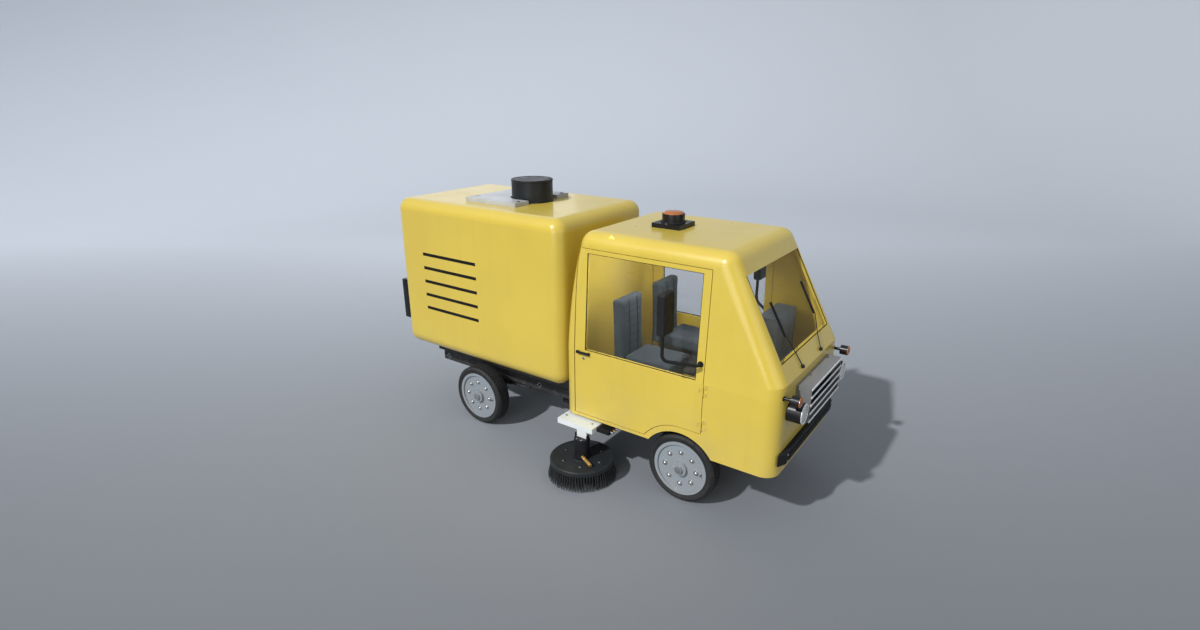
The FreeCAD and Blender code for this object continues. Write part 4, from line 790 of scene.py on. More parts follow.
def slat_tree():
    """Equal slats at a fixed step from a start point, each tilted about X."""
    tree = Tree("Slats", {"Count": 10, "Start": (0, 0, 0), "Step": (0, 0.01, 0), "Slat": (0.01, 0.002, 0.1),
                          "Tilt": 0.0})
    line = tree.line("OFFSET", "Step")
    cube = tree.cube("Slat")
    lean = tree.vector(X=tree.inputs["Tilt"])
    return tree.finish(tree.copied(line, tree.moved(cube, Rotation=lean)))


MAKERS = {
    "bolt_ring": bolt_ring_tree,
    "stud_ring": stud_ring_tree,
    "bolt_row": bolt_row_tree,
    "tread": tread_tree,
    "bristles": bristle_tree,
    "slats": slat_tree,
}
TREES = {}


def tree(name):
    """The named tree, built the first time it is asked for."""
    if name not in TREES:
        TREES[name] = MAKERS[name]()
    return TREES[name]


def mm(*points):
    """A profile of (radius, height) points, given in millimetres."""
    return [(radius / 1000, height / 1000) for radius, height in points]


def spread(low, high, number):
    return [low + (high - low) * step / (number - 1) for step in range(number)]


class Kit:
    """Makes finished pieces that ride on one body and share one slot."""

    def __init__(self, body, slot):
        self.body = body
        self.slot = slot

    def settle(self, piece, finish=None, replaces=()):
        """Gives a finished piece its material and its body."""
        piece.data.materials.clear()
        piece.data.materials.append(FINISHES[finish or self.slot])
        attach(piece, self.body)
        if replaces:
            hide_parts(*replaces)
        return piece

    def box(self, name, low, high, finish=None, width=0.002, replaces=()):
        bm = bmesh.new()
        block(bm, low, high)
        return self.settle(bevelled(from_bmesh(name, bm), width), finish, replaces)

    def slab(self, name, xs, y, half, zs, finish=None, width=0.002, replaces=()):
        """A box between two x and two z, half as wide as given on each side of y."""
        return self.box(name, (xs[0], y - half, zs[0]), (xs[1], y + half, zs[1]), finish, width, replaces)

    def turned(self, name, profile, direction, centre, finish=None, steps=48, replaces=()):
        bm = bmesh.new()
        lathe(bm, profile, placed(direction, centre), steps)
        return self.settle(from_bmesh(name, bm, 35), finish, replaces)

    def bolt_row(self, name, start, end, facing, number, head, finish="steel"):
        values = {"Count": number, "Start": start, "End": end, "Facing": facing, "Head Radius": head}
        return self.settle(grow(name, tree("bolt_row"), finish, **values), finish)

    def bolt_ring(self, name, direction, centre, radius, number, head, finish="steel", kind="bolt_ring"):
        values = {"Count": number, "Circle Radius": radius, "Head Radius": head}
        return self.settle(grow(name, tree(kind), finish, placed(direction, centre), **values), finish)

    def slats(self, name, start, step, number, slat, tilt=0.0, finish=None):
        values = {"Count": number, "Start": start, "Step": step, "Slat": slat, "Tilt": tilt}
        return self.settle(grow(name, tree("slats"), finish or self.slot, **values), finish)


# Operators

class SWEEPER_OT_finishes(bpy.types.Operator):
    """Paint, glass, rubber and metal on every body of the truck"""

    bl_idname = "sweeper.finishes"
    bl_label = "Finishes"

    def execute(self, context):
        make_finishes(context.scene.sweeper_paint)
        for entry in frame["record"]["subparts"]:
            materials = NODES[entry["node"]].data.materials
            materials.clear()
            materials.append(FINISHES[entry["material_slot"]])
        return {"FINISHED"}


class SWEEPER_OT_tyres(bpy.types.Operator):
    """Tyres with bulged sidewalls, four grooves and two rings of shoulder blocks"""

    bl_idname = "sweeper.tyres"
    bl_label = "Tyres"

    def execute(self, context):
        sizes = context.scene.sweeper_sizes
        for name, _ in WHEELS:
            low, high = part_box("tyre_" + name)
            self.tyre(name, (low + high) / 2, (high.z - low.z) / 2, (high.y - low.y) / 2, sizes)
        return {"FINISHED"}

    def tyre(self, name, centre, radius, half, sizes):
        wheel = Kit("wheel_" + name, "tyre_rubber")
        node = "tyre_" + name
        base = radius - sizes.tread_depth
        side = [(0.735, 0.806), (0.750, 0.842), (0.772, 0.848), (0.792, 0.905), (0.812, 0.888), (0.850, 0.945),
                (0.888, 0.984), (0.922, 0.994), (0.946, 0.930), (0.962, 0.868)]
        outer = [(radius * share, half * width) for share, width in side]
        outer.append((base, half * 0.775))
        for near, far in ((0.190, 0.370), (0.0, 0.115)):
            outer += [(base, half * (far + 0.016)), (radius, half * far)]
            if near:
                outer += [(radius, half * near), (base, half * (near - 0.016))]
        profile = outer + [(r, -y) for r, y in reversed(outer)] + [outer[0]]
        bm = bmesh.new()
        lathe(bm, profile, placed(Y, centre), 96)
        bmesh.ops.remove_doubles(bm, verts=bm.verts, dist=1e-6)
        wheel.settle(from_bmesh(node + "_carcass", bm, 30), replaces=(node,))
        pitch = 2 * math.pi * radius / sizes.tread_blocks
        values = {"Count": sizes.tread_blocks, "Radius": base, "Half Width": half * 0.590,
                  "Block": (sizes.tread_depth * 2 - 0.0004, pitch * 0.74, half * 0.27), "Slant": 0.20}
        wheel.settle(grow(node + "_tread", tree("tread"), "tyre_rubber", placed(Y, centre), **values))


class SWEEPER_OT_wheels(bpy.types.Operator):
    """Domed nuts, hub screws, a centre cap, a valve and a rim lip on each of the four wheels"""

    bl_idname = "sweeper.wheels"
    bl_label = "Wheel details"

    def execute(self, context):
        for name, sign in WHEELS:
            low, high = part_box("rim_" + name)
            middle = (low + high) / 2
            cap = Vector((middle.x, sign * max(abs(low.y), abs(high.y)), middle.z))
            outward = Y * sign
            self.wheel(name, cap - outward * 0.052, outward)
        return {"FINISHED"}

    def wheel(self, name, face, outward):
        wheel = Kit("wheel_" + name, "rim_metal")
        node = "rim_" + name
        wheel.bolt_ring(node + "_nuts", outward, face + outward * 0.001, 0.162, 8, 0.0195, kind="stud_ring")
        wheel.bolt_ring(node + "_hub_screws", outward, face + outward * 0.030, 0.054, 6, 0.0048)
        cap = mm((0, 0), (38.5, 0), (39.5, 4), (35, 5.5), (0, 6))
        wheel.turned(node + "_cap", cap, outward, face + outward * 0.0465, "steel")
        valve = mm((0, 0), (6.5, 0), (6, 6), (3.6, 9), (3.6, 26), (4.2, 27), (4.2, 34), (0, 34))
        wheel.turned(node + "_valve", valve, outward, face + X * 0.214, "rubber", 16)
        lip = mm((266.2, 0), (267.5, 0), (270, 3), (269, 6), (260, 6), (259, 3), (266.2, 0))
        wheel.turned(node + "_lip", lip, outward, face - outward * 0.0005, steps=96)


class SWEEPER_OT_brushes(bpy.types.Operator):
    """The side brushes: a dished disc with rings of separate stiff bristles"""

    bl_idname = "sweeper.brushes"
    bl_label = "Side brushes"

    def execute(self, context):
        for side, _ in SIDES:
            low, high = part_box("brush_" + side)
            centre = (low + high) / 2
            centre.z = 0
            self.brush(side, centre, low.z, high.z, (high.x - low.x) / 2, context.scene.sweeper_sizes)
        return {"FINISHED"}

    def brush(self, side, centre, floor, top, reach, sizes):
        brush = Kit("brush_" + side, "brush_bristle")
        disc = reach - 0.030
        low = top - 0.045
        hub = [(0.0, top - 0.004), (0.078, top - 0.004), (0.080, top), (0.108, top), (0.111, top - 0.003)]
        rim = [(disc - 0.036, top - 0.003), (disc - 0.032, top), (disc - 0.007, top), (disc, top - 0.007)]
        under = [(disc, low), (disc - 0.010, low - 0.005), (0.10, low - 0.005), (0.0, low - 0.005)]
        brush.turned("brush_disc_" + side, hub + rim + under, Z, centre, "disc_plastic", 96, ("brush_" + side,))
        fall = low - floor - 0.002
        matrix = Matrix.Translation(centre + Z * low)
        for index, (margin, flare) in enumerate(((0.014, 0.215), (0.034, 0.19), (0.058, 0.16), (0.086, 0.13))):
            values = {"Count": sizes.bristles - 8 * index, "Radius": disc - margin, "Root Radius": sizes.bristle_radius,
                      "Reach": fall * math.hypot(1, flare), "Flare": flare, "Seed": index + 11}
            brush.settle(grow("bristles_%s_%d" % (side, index), tree("bristles"), "brush_bristle", matrix, **values))
        brush.bolt_ring("brush_bolts_" + side, Z, centre + Z * (top - 0.003), 0.205, 6, 0.008)


class SWEEPER_OT_stage(bpy.types.Operator):
    """The pale studio, its lamps and the camera"""

    bl_idname = "sweeper.stage"
    bl_label = "Studio"

    def execute(self, context):
        self.sweep(tuple(context.scene.sweeper_paint.floor))
        self.sun("KeySun", (-0.28, -1.08, 1.0), 2.0, 2.9)
        self.area("FrontFill", (8.5, -3.0, 3.2), 6.0, 130)
        self.area("SideFill", (1.5, -8.0, 3.0), 5.0, 190)
        self.area("BackFill", (-7.5, 5.0, 5.5), 6.0, 60)
        self.area("CabLight", (0.9, -0.25, 2.26), 0.8, 16, (0.35, 0, 0.95))
        world = bpy.data.worlds.new("StudioWorld")
        world.use_nodes = True
        background = world.node_tree.nodes["Background"]
        background.inputs["Color"].default_value = (0.88, 0.93, 1.0, 1)
        background.inputs["Strength"].default_value = 0.56
        context.scene.world = world
        context.scene.view_settings.view_transform = "Standard"
        self.camera(context)
        return {"FINISHED"}

    def sweep(self, rgb):
        """A floor that curves up into the backdrop far behind the truck, on every side."""
        flat = 16.0
        bend = 14.0
        profile = [(0.0, 0.0), (flat, 0.0)]
        for step in range(1, 13):
            turn = math.pi / 2 * step / 12
            profile.append((flat + bend * math.sin(turn), bend * (1 - math.cos(turn))))
        profile.append((flat + bend, 24.0))
        bm = bmesh.new()
        lathe(bm, profile, Matrix.Identity(4), 96)
        for face in bm.faces:
            face.normal_flip()
        mesh = bpy.data.meshes.new("StudioSweep")
        bm.to_mesh(mesh)
        bm.free()
        floor = add_object("StudioSweep", mesh)
        floor.visible_shadow = False
        smooth(floor, 60)
        floor.data.materials.append(self.paper_with_painted_light(rgb))

    def paper_with_painted_light(self, rgb):
        """Backdrop paper with painted light: painted darker at the floor's front and paler to its far side, more to one
        side than the other.
        """
        finish = Finish("StudioPaper")
        away = finish.along((-0.578, 0.816, 0.35))
        across = finish.along((0.816, 0.578, 0.0))
        # Painted light and shade: the paper is painted darker at the front, paler far off, and paler to one side than
        # the other
        far = finish.tones(finish.ranged(across, -22.0, 14.0), rgb, 2.00, 1.12)
        paper_with_painted_light = finish.mixed(finish.ranged(away, -6.0, 9.0), shaded(rgb, 0.25), far)
        finish.colour(finish.mixed(finish.patches(0.25, 2.0, 0.3, 0.7, 0.0, 0.03), paper_with_painted_light, rgb))
        finish.sheen(3.0, 3.0, 0.78, 0.88)
        finish.bump(finish.noise(60.0), 0.03, 0.002)
        finish.fixed("Specular IOR Level", 0.2)
        return finish.material

    def sun(self, name, direction, degrees, strength):
        data = bpy.data.lights.new(name, "SUN")
        data.energy = strength
        data.angle = math.radians(degrees)
        lamp = add_object(name, data)
        lamp.matrix_world = turned(direction)

    def area(self, name, place, size, power, facing=None):
        """A square lamp; without a direction it points at the truck's middle and shows in reflections."""
        data = bpy.data.lights.new(name, "AREA")
        data.size = size
        data.energy = power
        lamp = add_object(name, data)
        lamp.matrix_world = placed(Vector(facing or Vector(place) - Z * 1.2), place)
        lamp.visible_camera = False
        lamp.visible_glossy = facing is None

    def camera(self, context):
        yaw = math.radians(125.319)
        pitch = math.radians(-19.399)
        data = bpy.data.cameras.new("PhotoCamera")
        data.sensor_width = 36
        data.lens = 36 * 653.669 / 1200
        data.clip_end = 120
        camera = add_object("PhotoCamera", data)
        ahead = Vector((math.cos(pitch) * math.cos(yaw), math.cos(pitch) * math.sin(yaw), math.sin(pitch)))
        turn = ahead.to_track_quat("-Z", "Y").to_matrix().to_4x4()
        camera.matrix_world = Matrix.Translation((3.779, -5.398, 3.677)) @ turn
        context.scene.camera = camera


class SWEEPER_OT_glazing(bpy.types.Operator):
    """Rubber seals round the windscreen and the door windows"""

    bl_idname = "sweeper.glazing"
    bl_label = "Window seals"

    def execute(self, context):
        width = context.scene.sweeper_sizes.seal_width
        for side, sign in SIDES:
            self.seal("door_glass_" + side, (0, sign, DOOR_LEAN), X, width, "door_" + side)
        self.seal("windscreen", (1, 0, SCREEN_LEAN), Y, width, "chassis")
        return {"FINISHED"}

    def seal(self, node, normal, across, width, body):
        outline = inset(flat_corners(node, normal, across), width / 2)
        strip = ring_strip(node + "_seal", outline, width, 0.006, normal)
        Kit(body, "black_trim").settle(strip, "rubber")


class SWEEPER_OT_doors(bpy.types.Operator):
    """Mirror glass, lock barrels and hinge screws on both doors"""

    bl_idname = "sweeper.doors"
    bl_label = "Door details"

    def execute(self, context):
        for side, sign in SIDES:
            trim = Kit("door_" + side, "black_trim")
            self.mirror(trim, side, sign)
            self.lock(trim, side, sign)
            self.hinges(side, sign)
        return {"FINISHED"}

    def mirror(self, trim, side, sign):
        low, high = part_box("door_fittings_" + side)
        outer = low.y if sign < 0 else high.y
        middle = outer - sign * 0.085
        top = high.z
        name = "mirror_" + side
        face = MIRROR_X - 0.040
        rim = ((face - 0.0025, face + 0.004), middle, 0.071, (top - 0.344, top - 0.016))
        trim.slab(name + "_rim", *rim, "rubber", 0.003)
        glass = ((face - 0.0040, face - 0.001), middle, 0.064, (top - 0.337, top - 0.023))
        trim.slab(name + "_glass", *glass, "mirror", 0.001)
        clamp = mm((0, 0), (21, 0), (23, 3), (23, 27), (21, 30), (0, 30))
        trim.turned(name + "_clamp", clamp, Z, (MIRROR_X - 0.020, middle, top - 0.378), steps=32)

    def lock(self, trim, side, sign):
        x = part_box("door_" + side)[0].x + 0.105
        z = 1.195
        skin = sign * SKIN_Y
        barrel = mm((0, 0), (15, 0), (15, 2), (12, 3.5), (9.5, 3.5), (9, 2.8), (0, 2.8))
        trim.turned("lock_" + side, barrel, (0, sign, 0), (x, skin, z), "steel", 32)
        near, far = sorted((skin + sign * 0.0020, skin + sign * 0.0034))
        trim.box("lock_slot_" + side, (x - 0.0015, near, z - 0.005), (x + 0.0015, far, z + 0.005), "rubber", 0.0003)

    def hinges(self, side, sign):
        leaf = sign * (SKIN_Y + 0.004)
        for number, z in enumerate(HINGE_Z):
            name = "hinge_%s_%d" % (side, number)
            rows = (("_door", -0.028, z, "door_" + side), ("_low", 0.028, z - 0.0345, "chassis"),
                    ("_high", 0.028, z + 0.0345, "chassis"))
            for part, reach, base, body in rows:
                x = HINGE_X + reach
                ends = ((x, leaf, base + 0.008), (x, leaf, base + 0.026))
                Kit(body, "cab_paint").bolt_row(name + part, *ends, (0, sign, 0), 2, 0.0036)


class SWEEPER_OT_nose(bpy.types.Operator):
    """Grille bars and radiator fins, lamp bezels and lenses, beacon and bumper fixings"""

    bl_idname = "sweeper.nose"
    bl_label = "Nose and roof lamps"

    def execute(self, context):
        self.grille(context.scene.sweeper_sizes)
        self.headlamps()
        self.signals()
        self.beacon()
        self.bumper()
        self.wipers()
        return {"FINISHED"}

    def grille(self, sizes):
        low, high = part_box("grille_bars")
        bm = bmesh.new()
        height = 0.020
        for z in spread(low.z, high.z - height, 5):
            block(bm, (low.x, low.y, z), (high.x, high.y, z + height))
        bars = bevelled(from_bmesh("grille_bright_bars", bm), 0.0035)
        Kit("chassis", "grille_bright").settle(bars, replaces=("grille_bars",))
        low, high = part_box("grille_box")
        back = low.x + 0.045
        wall = 0.0142
        grille = Kit("chassis", "grille_paint")
        grille.box("radiator_core", (back - 0.016, low.y + wall, low.z + wall), (back, high.y - wall, high.z - wall),
                   "lamp_black", 0.001)
        width = high.y - low.y - 0.040
        pitch = sizes.fin_pitch
        start = (back + 0.008, -width / 2 + pitch / 2, (low.z + high.z) / 2)
        fin = (0.018, 0.0012, high.z - low.z - 0.032)
        grille.slats("radiator_fins", start, (0, pitch, 0), int(width / pitch), fin, finish="fin_metal")
        x = low.x + 0.030
        for side, sign in SIDES:
            y = sign * 0.4152
            ends = ((x, y, low.z + 0.03), (x, y, high.z - 0.03))
            grille.bolt_row("grille_screws_" + side, *ends, (0, sign, 0), 3, 0.006)

    def headlamps(self):
        bezel = mm((74.5, 0), (89.5, 0), (89.5, 3), (85, 6.5), (79, 6.5), (74.5, 3), (74.5, 0))
        bowl = mm((0, -9.2), (20, -9.2), (48, -7.5), (72, -2), (73.5, -2), (73.5, -9.8), (0, -9.8))
        bulb = mm((0, 4), (10, 3), (13.5, -2), (13.5, -9), (0, -9))
        glass = mm((0, 6), (30, 5.2), (55, 3.2), (72, -0.5), (73.5, -1.8), (71, -1.8), (54, 1.5), (30, 3.5), (0, 4.3))
        lamp = Kit("chassis", "lens_clear")
        housing = Kit("chassis", "lamp_black")
        bm = bmesh.new()
        for side, sign in SIDES:
            centre = Vector((LAMP_X, sign * HEADLAMP[0], HEADLAMP[1]))
            Kit("chassis", "grille_bright").turned("headlamp_bezel_" + side, bezel, X, centre, steps=64)
            lamp.turned("headlamp_bowl_" + side, bowl, X, centre, "grille_bright", 64)
            lamp.turned("headlamp_bulb_" + side, bulb, X, centre, "bulb_glass", 32)
            housing.bolt_ring("headlamp_screws_" + side, -X, centre - X * 0.1262, 0.075, 4, 0.005)
            lathe(bm, glass, placed(X, centre), 64)
        lamp.settle(from_bmesh("headlamp_glass", bm, 50), replaces=("headlamp_lenses",))

    def signals(self):
        """Rings and feet on both signals, and every amber lens with the beacon's dome as one piece."""
        lens = mm((0, 6), (12, 6), (14, 4.5), (22, 4.5), (24, 6), (38, 5.2), (43.5, 1.5), (43.8, -9.8), (0, -9.8))
        dome = mm((0, 62), (50, 60.5), (82, 56), (96, 49), (103, 38), (104, 0), (100, 0), (99, 36), (92, 44), (79, 51),
                  (48, 55.5), (0, 56))
        ring = mm((44, -12), (46.8, -12), (46.8, -5), (45.5, -3.5), (44, -3.5), (44, -12))
        foot = mm((14.5, 0), (26, 0), (26, 4), (18, 10), (14.5, 10), (14.5, 0))
        housing = Kit("chassis", "lamp_black")
        bm = bmesh.new()
        for side, sign in SIDES:
            centre = Vector((LAMP_X, sign * SIGNAL[0], SIGNAL[1]))
            lathe(bm, lens, placed(X, centre), 48)
            housing.turned("signal_ring_" + side, ring, X, centre)
            housing.turned("signal_foot_" + side, foot, X, centre - X * 0.1415, "rubber", 32)
        lathe(bm, dome, placed(Z, BEACON + Z * 0.045), 64)
        Kit("chassis", "lens_amber").settle(from_bmesh("amber_glass", bm, 50), replaces=("amber_lenses",))

    def beacon(self):
        lamp = mm((0, 0), (95, 0), (95, 4), (34, 6), (34, 12), (28, 40), (20, 46), (0, 48))
        gasket = mm((108.2, 0), (122, 0), (122, 6), (113.5, 12), (108.2, 12), (108.2, 0))
        sleeve = mm((104.3, 0), (108, 0), (108, 36), (107, 38), (105, 38), (104.3, 36), (104.3, 0))
        housing = Kit("chassis", "lamp_black")
        Kit("chassis", "lens_amber").turned("beacon_lamp", lamp, Z, BEACON + Z * 0.0451, "bulb_glass")
        housing.turned("beacon_gasket", gasket, Z, BEACON, "rubber", 64)
        housing.turned("beacon_sleeve", sleeve, Z, BEACON + Z * 0.0453, steps=64)
        housing.bolt_ring("beacon_bolts", Z, BEACON, 0.136, 4, 0.008)

    def bumper(self):
        low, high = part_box("bumper")
        front = high.x
        middle = (low.z + high.z) / 2
        trim = Kit("chassis", "black_trim")
        xs = (front - 0.003, front + 0.007)
        trim.slab("bumper_pad", xs, 0, 0.560, (middle - 0.022, middle + 0.022), "rubber", 0.004)
        for side, sign in SIDES:
            y = sign * 0.586
            trim.bolt_row("bumper_bolts_" + side, (front, y, middle - 0.030), (front, y, middle + 0.030), X, 2, 0.007)

    def wipers(self):
        normal = Vector((1, 0, SCREEN_LEAN)).normalized()
        cap = mm((0, 0), (16.5, 0), (16.5, 4), (12, 8.5), (0, 9.5))
        z = 1.425
        x = NOSE_X - (z - SCREEN_FOOT_Z) * SCREEN_LEAN
        for index, y in enumerate((-0.266, 0.210)):
            foot = Vector((x, y, z))
            Kit("chassis", "black_trim").turned("wiper_cap_%d" % index, cap, normal, foot + normal * 0.016, steps=32)


class SWEEPER_OT_hopper(bpy.types.Operator):
    """Slatted louvres, the fan stack, hatch and tailgate fittings and the tail lamps"""

    bl_idname = "sweeper.hopper"
    bl_label = "Hopper details"

    def execute(self, context):
        self.louvres()
        self.stack()
        self.hatch()
        self.tailgate()
        self.tail_lamps()
        return {"FINISHED"}

    def louvres(self):
        """Five slots a side, each a shallow open box with three tilted slats."""
        low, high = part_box("hopper_louvres")
        height = 0.036
        wall = 0.0025
        trim = Kit("hopper", "black_trim")
        bm = bmesh.new()
        for side, sign in SIDES:
            outer = sign * high.y
            inner = outer - sign * 0.020
            near, far = sorted((inner, outer))
            for index, z in enumerate(spread(low.z, high.z - height, 5)):
                top = z + height
                back = sorted((inner, inner + sign * 0.002))
                block(bm, (low.x, back[0], z), (high.x, back[1], top))
                for z0, z1 in ((z, z + wall), (top - wall, top)):
                    block(bm, (low.x, near, z0), (high.x, far, z1))
                for x0, x1 in ((low.x, low.x + wall), (high.x - wall, high.x)):
                    block(bm, (x0, near, z), (x1, far, top))
                start = ((low.x + high.x) / 2, outer - sign * 0.008, z + 0.0085)
                slat = (high.x - low.x - 0.006, 0.013, 0.0014)
                trim.slats("slats_%s_%d" % (side, index), start, (0, 0, 0.0095), 3, slat, -sign * 0.55)
        trim.settle(from_bmesh("louvre_frames", bm, 35), replaces=("hopper_louvres",))

    def stack(self):
        low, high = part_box("fan_stack")
        radius = (high.x - low.x) / 2
        centre = (low + high) / 2
        centre.z = low.z
        height = high.z - low.z
        skin = radius - 0.003
        foot = [(0.0, 0.0), (radius + 0.006, 0.0), (radius + 0.006, 0.005), (skin, 0.007)]
        rim = [(skin, height - 0.022), (radius, height - 0.019), (radius, height - 0.004), (skin, height - 0.001)]
        lid = [(radius - 0.011, height - 0.001), (radius - 0.014, height - 0.004), (0.060, height - 0.0035),
               (0.0, height - 0.0025)]
        stack = Kit("hopper", "stack_paint")
        stack.turned("stack_shell", foot + rim + lid, Z, centre, steps=96, replaces=("fan_stack",))
        stack.bolt_ring("stack_bolts", Z, centre + Z * (height - 0.0045), radius - 0.030, 8, 0.0055, "stack_paint")

    def hatch(self):
        hatch = Kit("hatch", "hatch_paint")
        top = HATCH_TOP_Z
        front = HATCH_FRONT_X
        for side, sign in SIDES:
            y = sign * 0.360
            catch = ((front - 0.052, front - 0.010), y, 0.022, (top - 0.0005, top + 0.005))
            hatch.slab("hatch_catch_" + side, *catch, "steel", 0.0015)
            lever = ((front - 0.046, front - 0.016), y, 0.007, (top + 0.0045, top + 0.010))
            hatch.slab("hatch_lever_" + side, *lever, "black_trim", 0.002)
            for index, y in enumerate((sign * 0.300 - 0.020, sign * 0.300 + 0.020)):
                hatch.bolt_row("hatch_hinge_%s_%d" % (side, index), (-1.496, y, top), (-1.466, y, top), Z, 2, 0.005)

    def tailgate(self):
        rear = HOPPER_REAR_X
        trim = Kit("tailgate", "black_trim")
        gate = Kit("tailgate", "hopper_paint")
        surround = Kit("hopper", "hopper_paint")
        grip_z = 1.12
        half = 0.14
        bend = 0.11
        bends = ((0.004, -half), (-0.040, -half), (-0.045, -bend), (-0.045, bend), (-0.040, half), (0.004, half))
        trim.settle(tube("gate_grip", [(rear + reach, y, grip_z) for reach, y in bends], 0.009))
        foot = mm((0, 0), (20, 0), (20, 3), (10, 6), (0, 6))
        for y, name in ((-half, "a"), (half, "b")):
            trim.turned("gate_grip_foot_" + name, foot, -X, (rear, y, grip_z), "steel", 24)
        for side, sign in SIDES:
            y = sign * 0.455
            near = rear + 0.001
            gate.slab("gate_catch_" + side, (rear - 0.014, near), y, 0.030, (0.945, 1.050), "steel", 0.003)
            lever = ((rear - 0.026, rear - 0.013), y, 0.012, (0.955, 1.085))
            gate.slab("gate_lever_" + side, *lever, "black_trim", 0.004)
            surround.slab("gate_keeper_" + side, (rear - 0.012, near), y, 0.020, (0.908, 0.928), "steel", 0.003)
            y = sign * 0.578
            surround.bolt_row("gate_bolts_" + side, (rear, y, 1.00), (rear, y, 2.24), -X, 8, 0.007)
        for z in (1.35, 1.95):
            xs = (rear - 0.010, rear + 0.001)
            gate.slab("gate_rib_%d" % (z * 100), xs, 0, 0.50, (z - 0.035, z + 0.035), width=0.006)

    def tail_lamps(self):
        low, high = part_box("tail_lamps")
        rear = low.x
        lamp = Kit("hopper", "tail_lamp")
        segment = (high.z - low.z - 0.016) / 3
        for side, sign in SIDES:
            y0, y1 = sorted((sign * high.y, sign * (high.y - 0.065)))
            lamp.box("tail_housing_" + side, (rear + 0.004, y0, low.z), (rear + 0.103, y1, high.z), "lamp_black", 0.008,
                     ("tail_lamps",) if sign < 0 else ())
            for index, finish in enumerate(("tail_red", "tail_red", "lens_amber")):
                z0 = low.z + 0.008 + index * segment
                lamp.box("tail_lens_%s_%d" % (side, index), (rear + 0.0002, y0 + 0.007, z0 + 0.003),
                         (rear + 0.010, y1 - 0.007, z0 + segment - 0.003), finish, 0.003)


class SWEEPER_OT_cabin(bpy.types.Operator):
    """Gauges and switches on the console, the steering wheel's pad and boot, and floor mats"""

    bl_idname = "sweeper.cabin"
    bl_label = "Cab interior"

    def execute(self, context):
        low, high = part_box("dashboard")
        rear = low.x
        middle = (low.y + high.y) / 2
        console = Kit("chassis", "console_plastic")
        corners = ((rear - 0.006, low.y + 0.05, high.z - 0.235), (rear + 0.001, high.y - 0.05, high.z - 0.035))
        console.box("gauge_panel", *corners, "lamp_black", 0.004)
        dial = mm((0, 1), (40, 1), (40, 4), (44, 6), (48, 4), (49, 0), (0, 0))
        z = high.z - 0.120
        for index, (y, size) in enumerate(((middle + 0.115, 1.0), (middle, 1.25), (middle - 0.115, 1.0))):
            profile = [(radius * size, height) for radius, height in dial]
            console.turned("gauge_%d" % index, profile, -X, (rear - 0.006, y, z), "dial_face")
            xs = (rear - 0.0085, rear - 0.0072)
            console.slab("needle_%d" % index, xs, y, 0.001, (z, z + 0.03 * size), "tail_red", 0.0003)
        for index, y in enumerate(spread(low.y + 0.09, high.y - 0.09, 7)):
            switch = ((rear - 0.011, rear - 0.004), y, 0.012, (high.z - 0.216, high.z - 0.190))
            console.slab("switch_%d" % index, *switch, "wheel_plastic", 0.003)
        self.steering()
        for side, sign in SIDES:
            mat = ((0.23, 0.52), sign * 0.42, 0.16, (0.6035, 0.6085))
            Kit("chassis", "cab_floor_paint").slab("mat_" + side, *mat, "rubber")
        return {"FINISHED"}

    def steering(self):
        tilt = math.radians(25)
        axis = Vector((-math.cos(tilt), 0, math.sin(tilt)))
        wheel = Kit("chassis", "wheel_plastic")
        hub = (1.355, 0.360, 1.350)
        column_foot = (1.672, 0.360, 1.202)
        pad = mm((0, 16), (40, 14), (58, 6), (60, -4), (50, -16), (0, -16))
        wheel.turned("steering_pad", pad, axis, hub)
        boot = mm((24.5, 0), (55, 0), (50, 10), (56, 20), (46, 30), (50, 40), (36, 55), (24.5, 60), (24.5, 0))
        wheel.turned("column_boot", boot, axis, column_foot, "rubber")


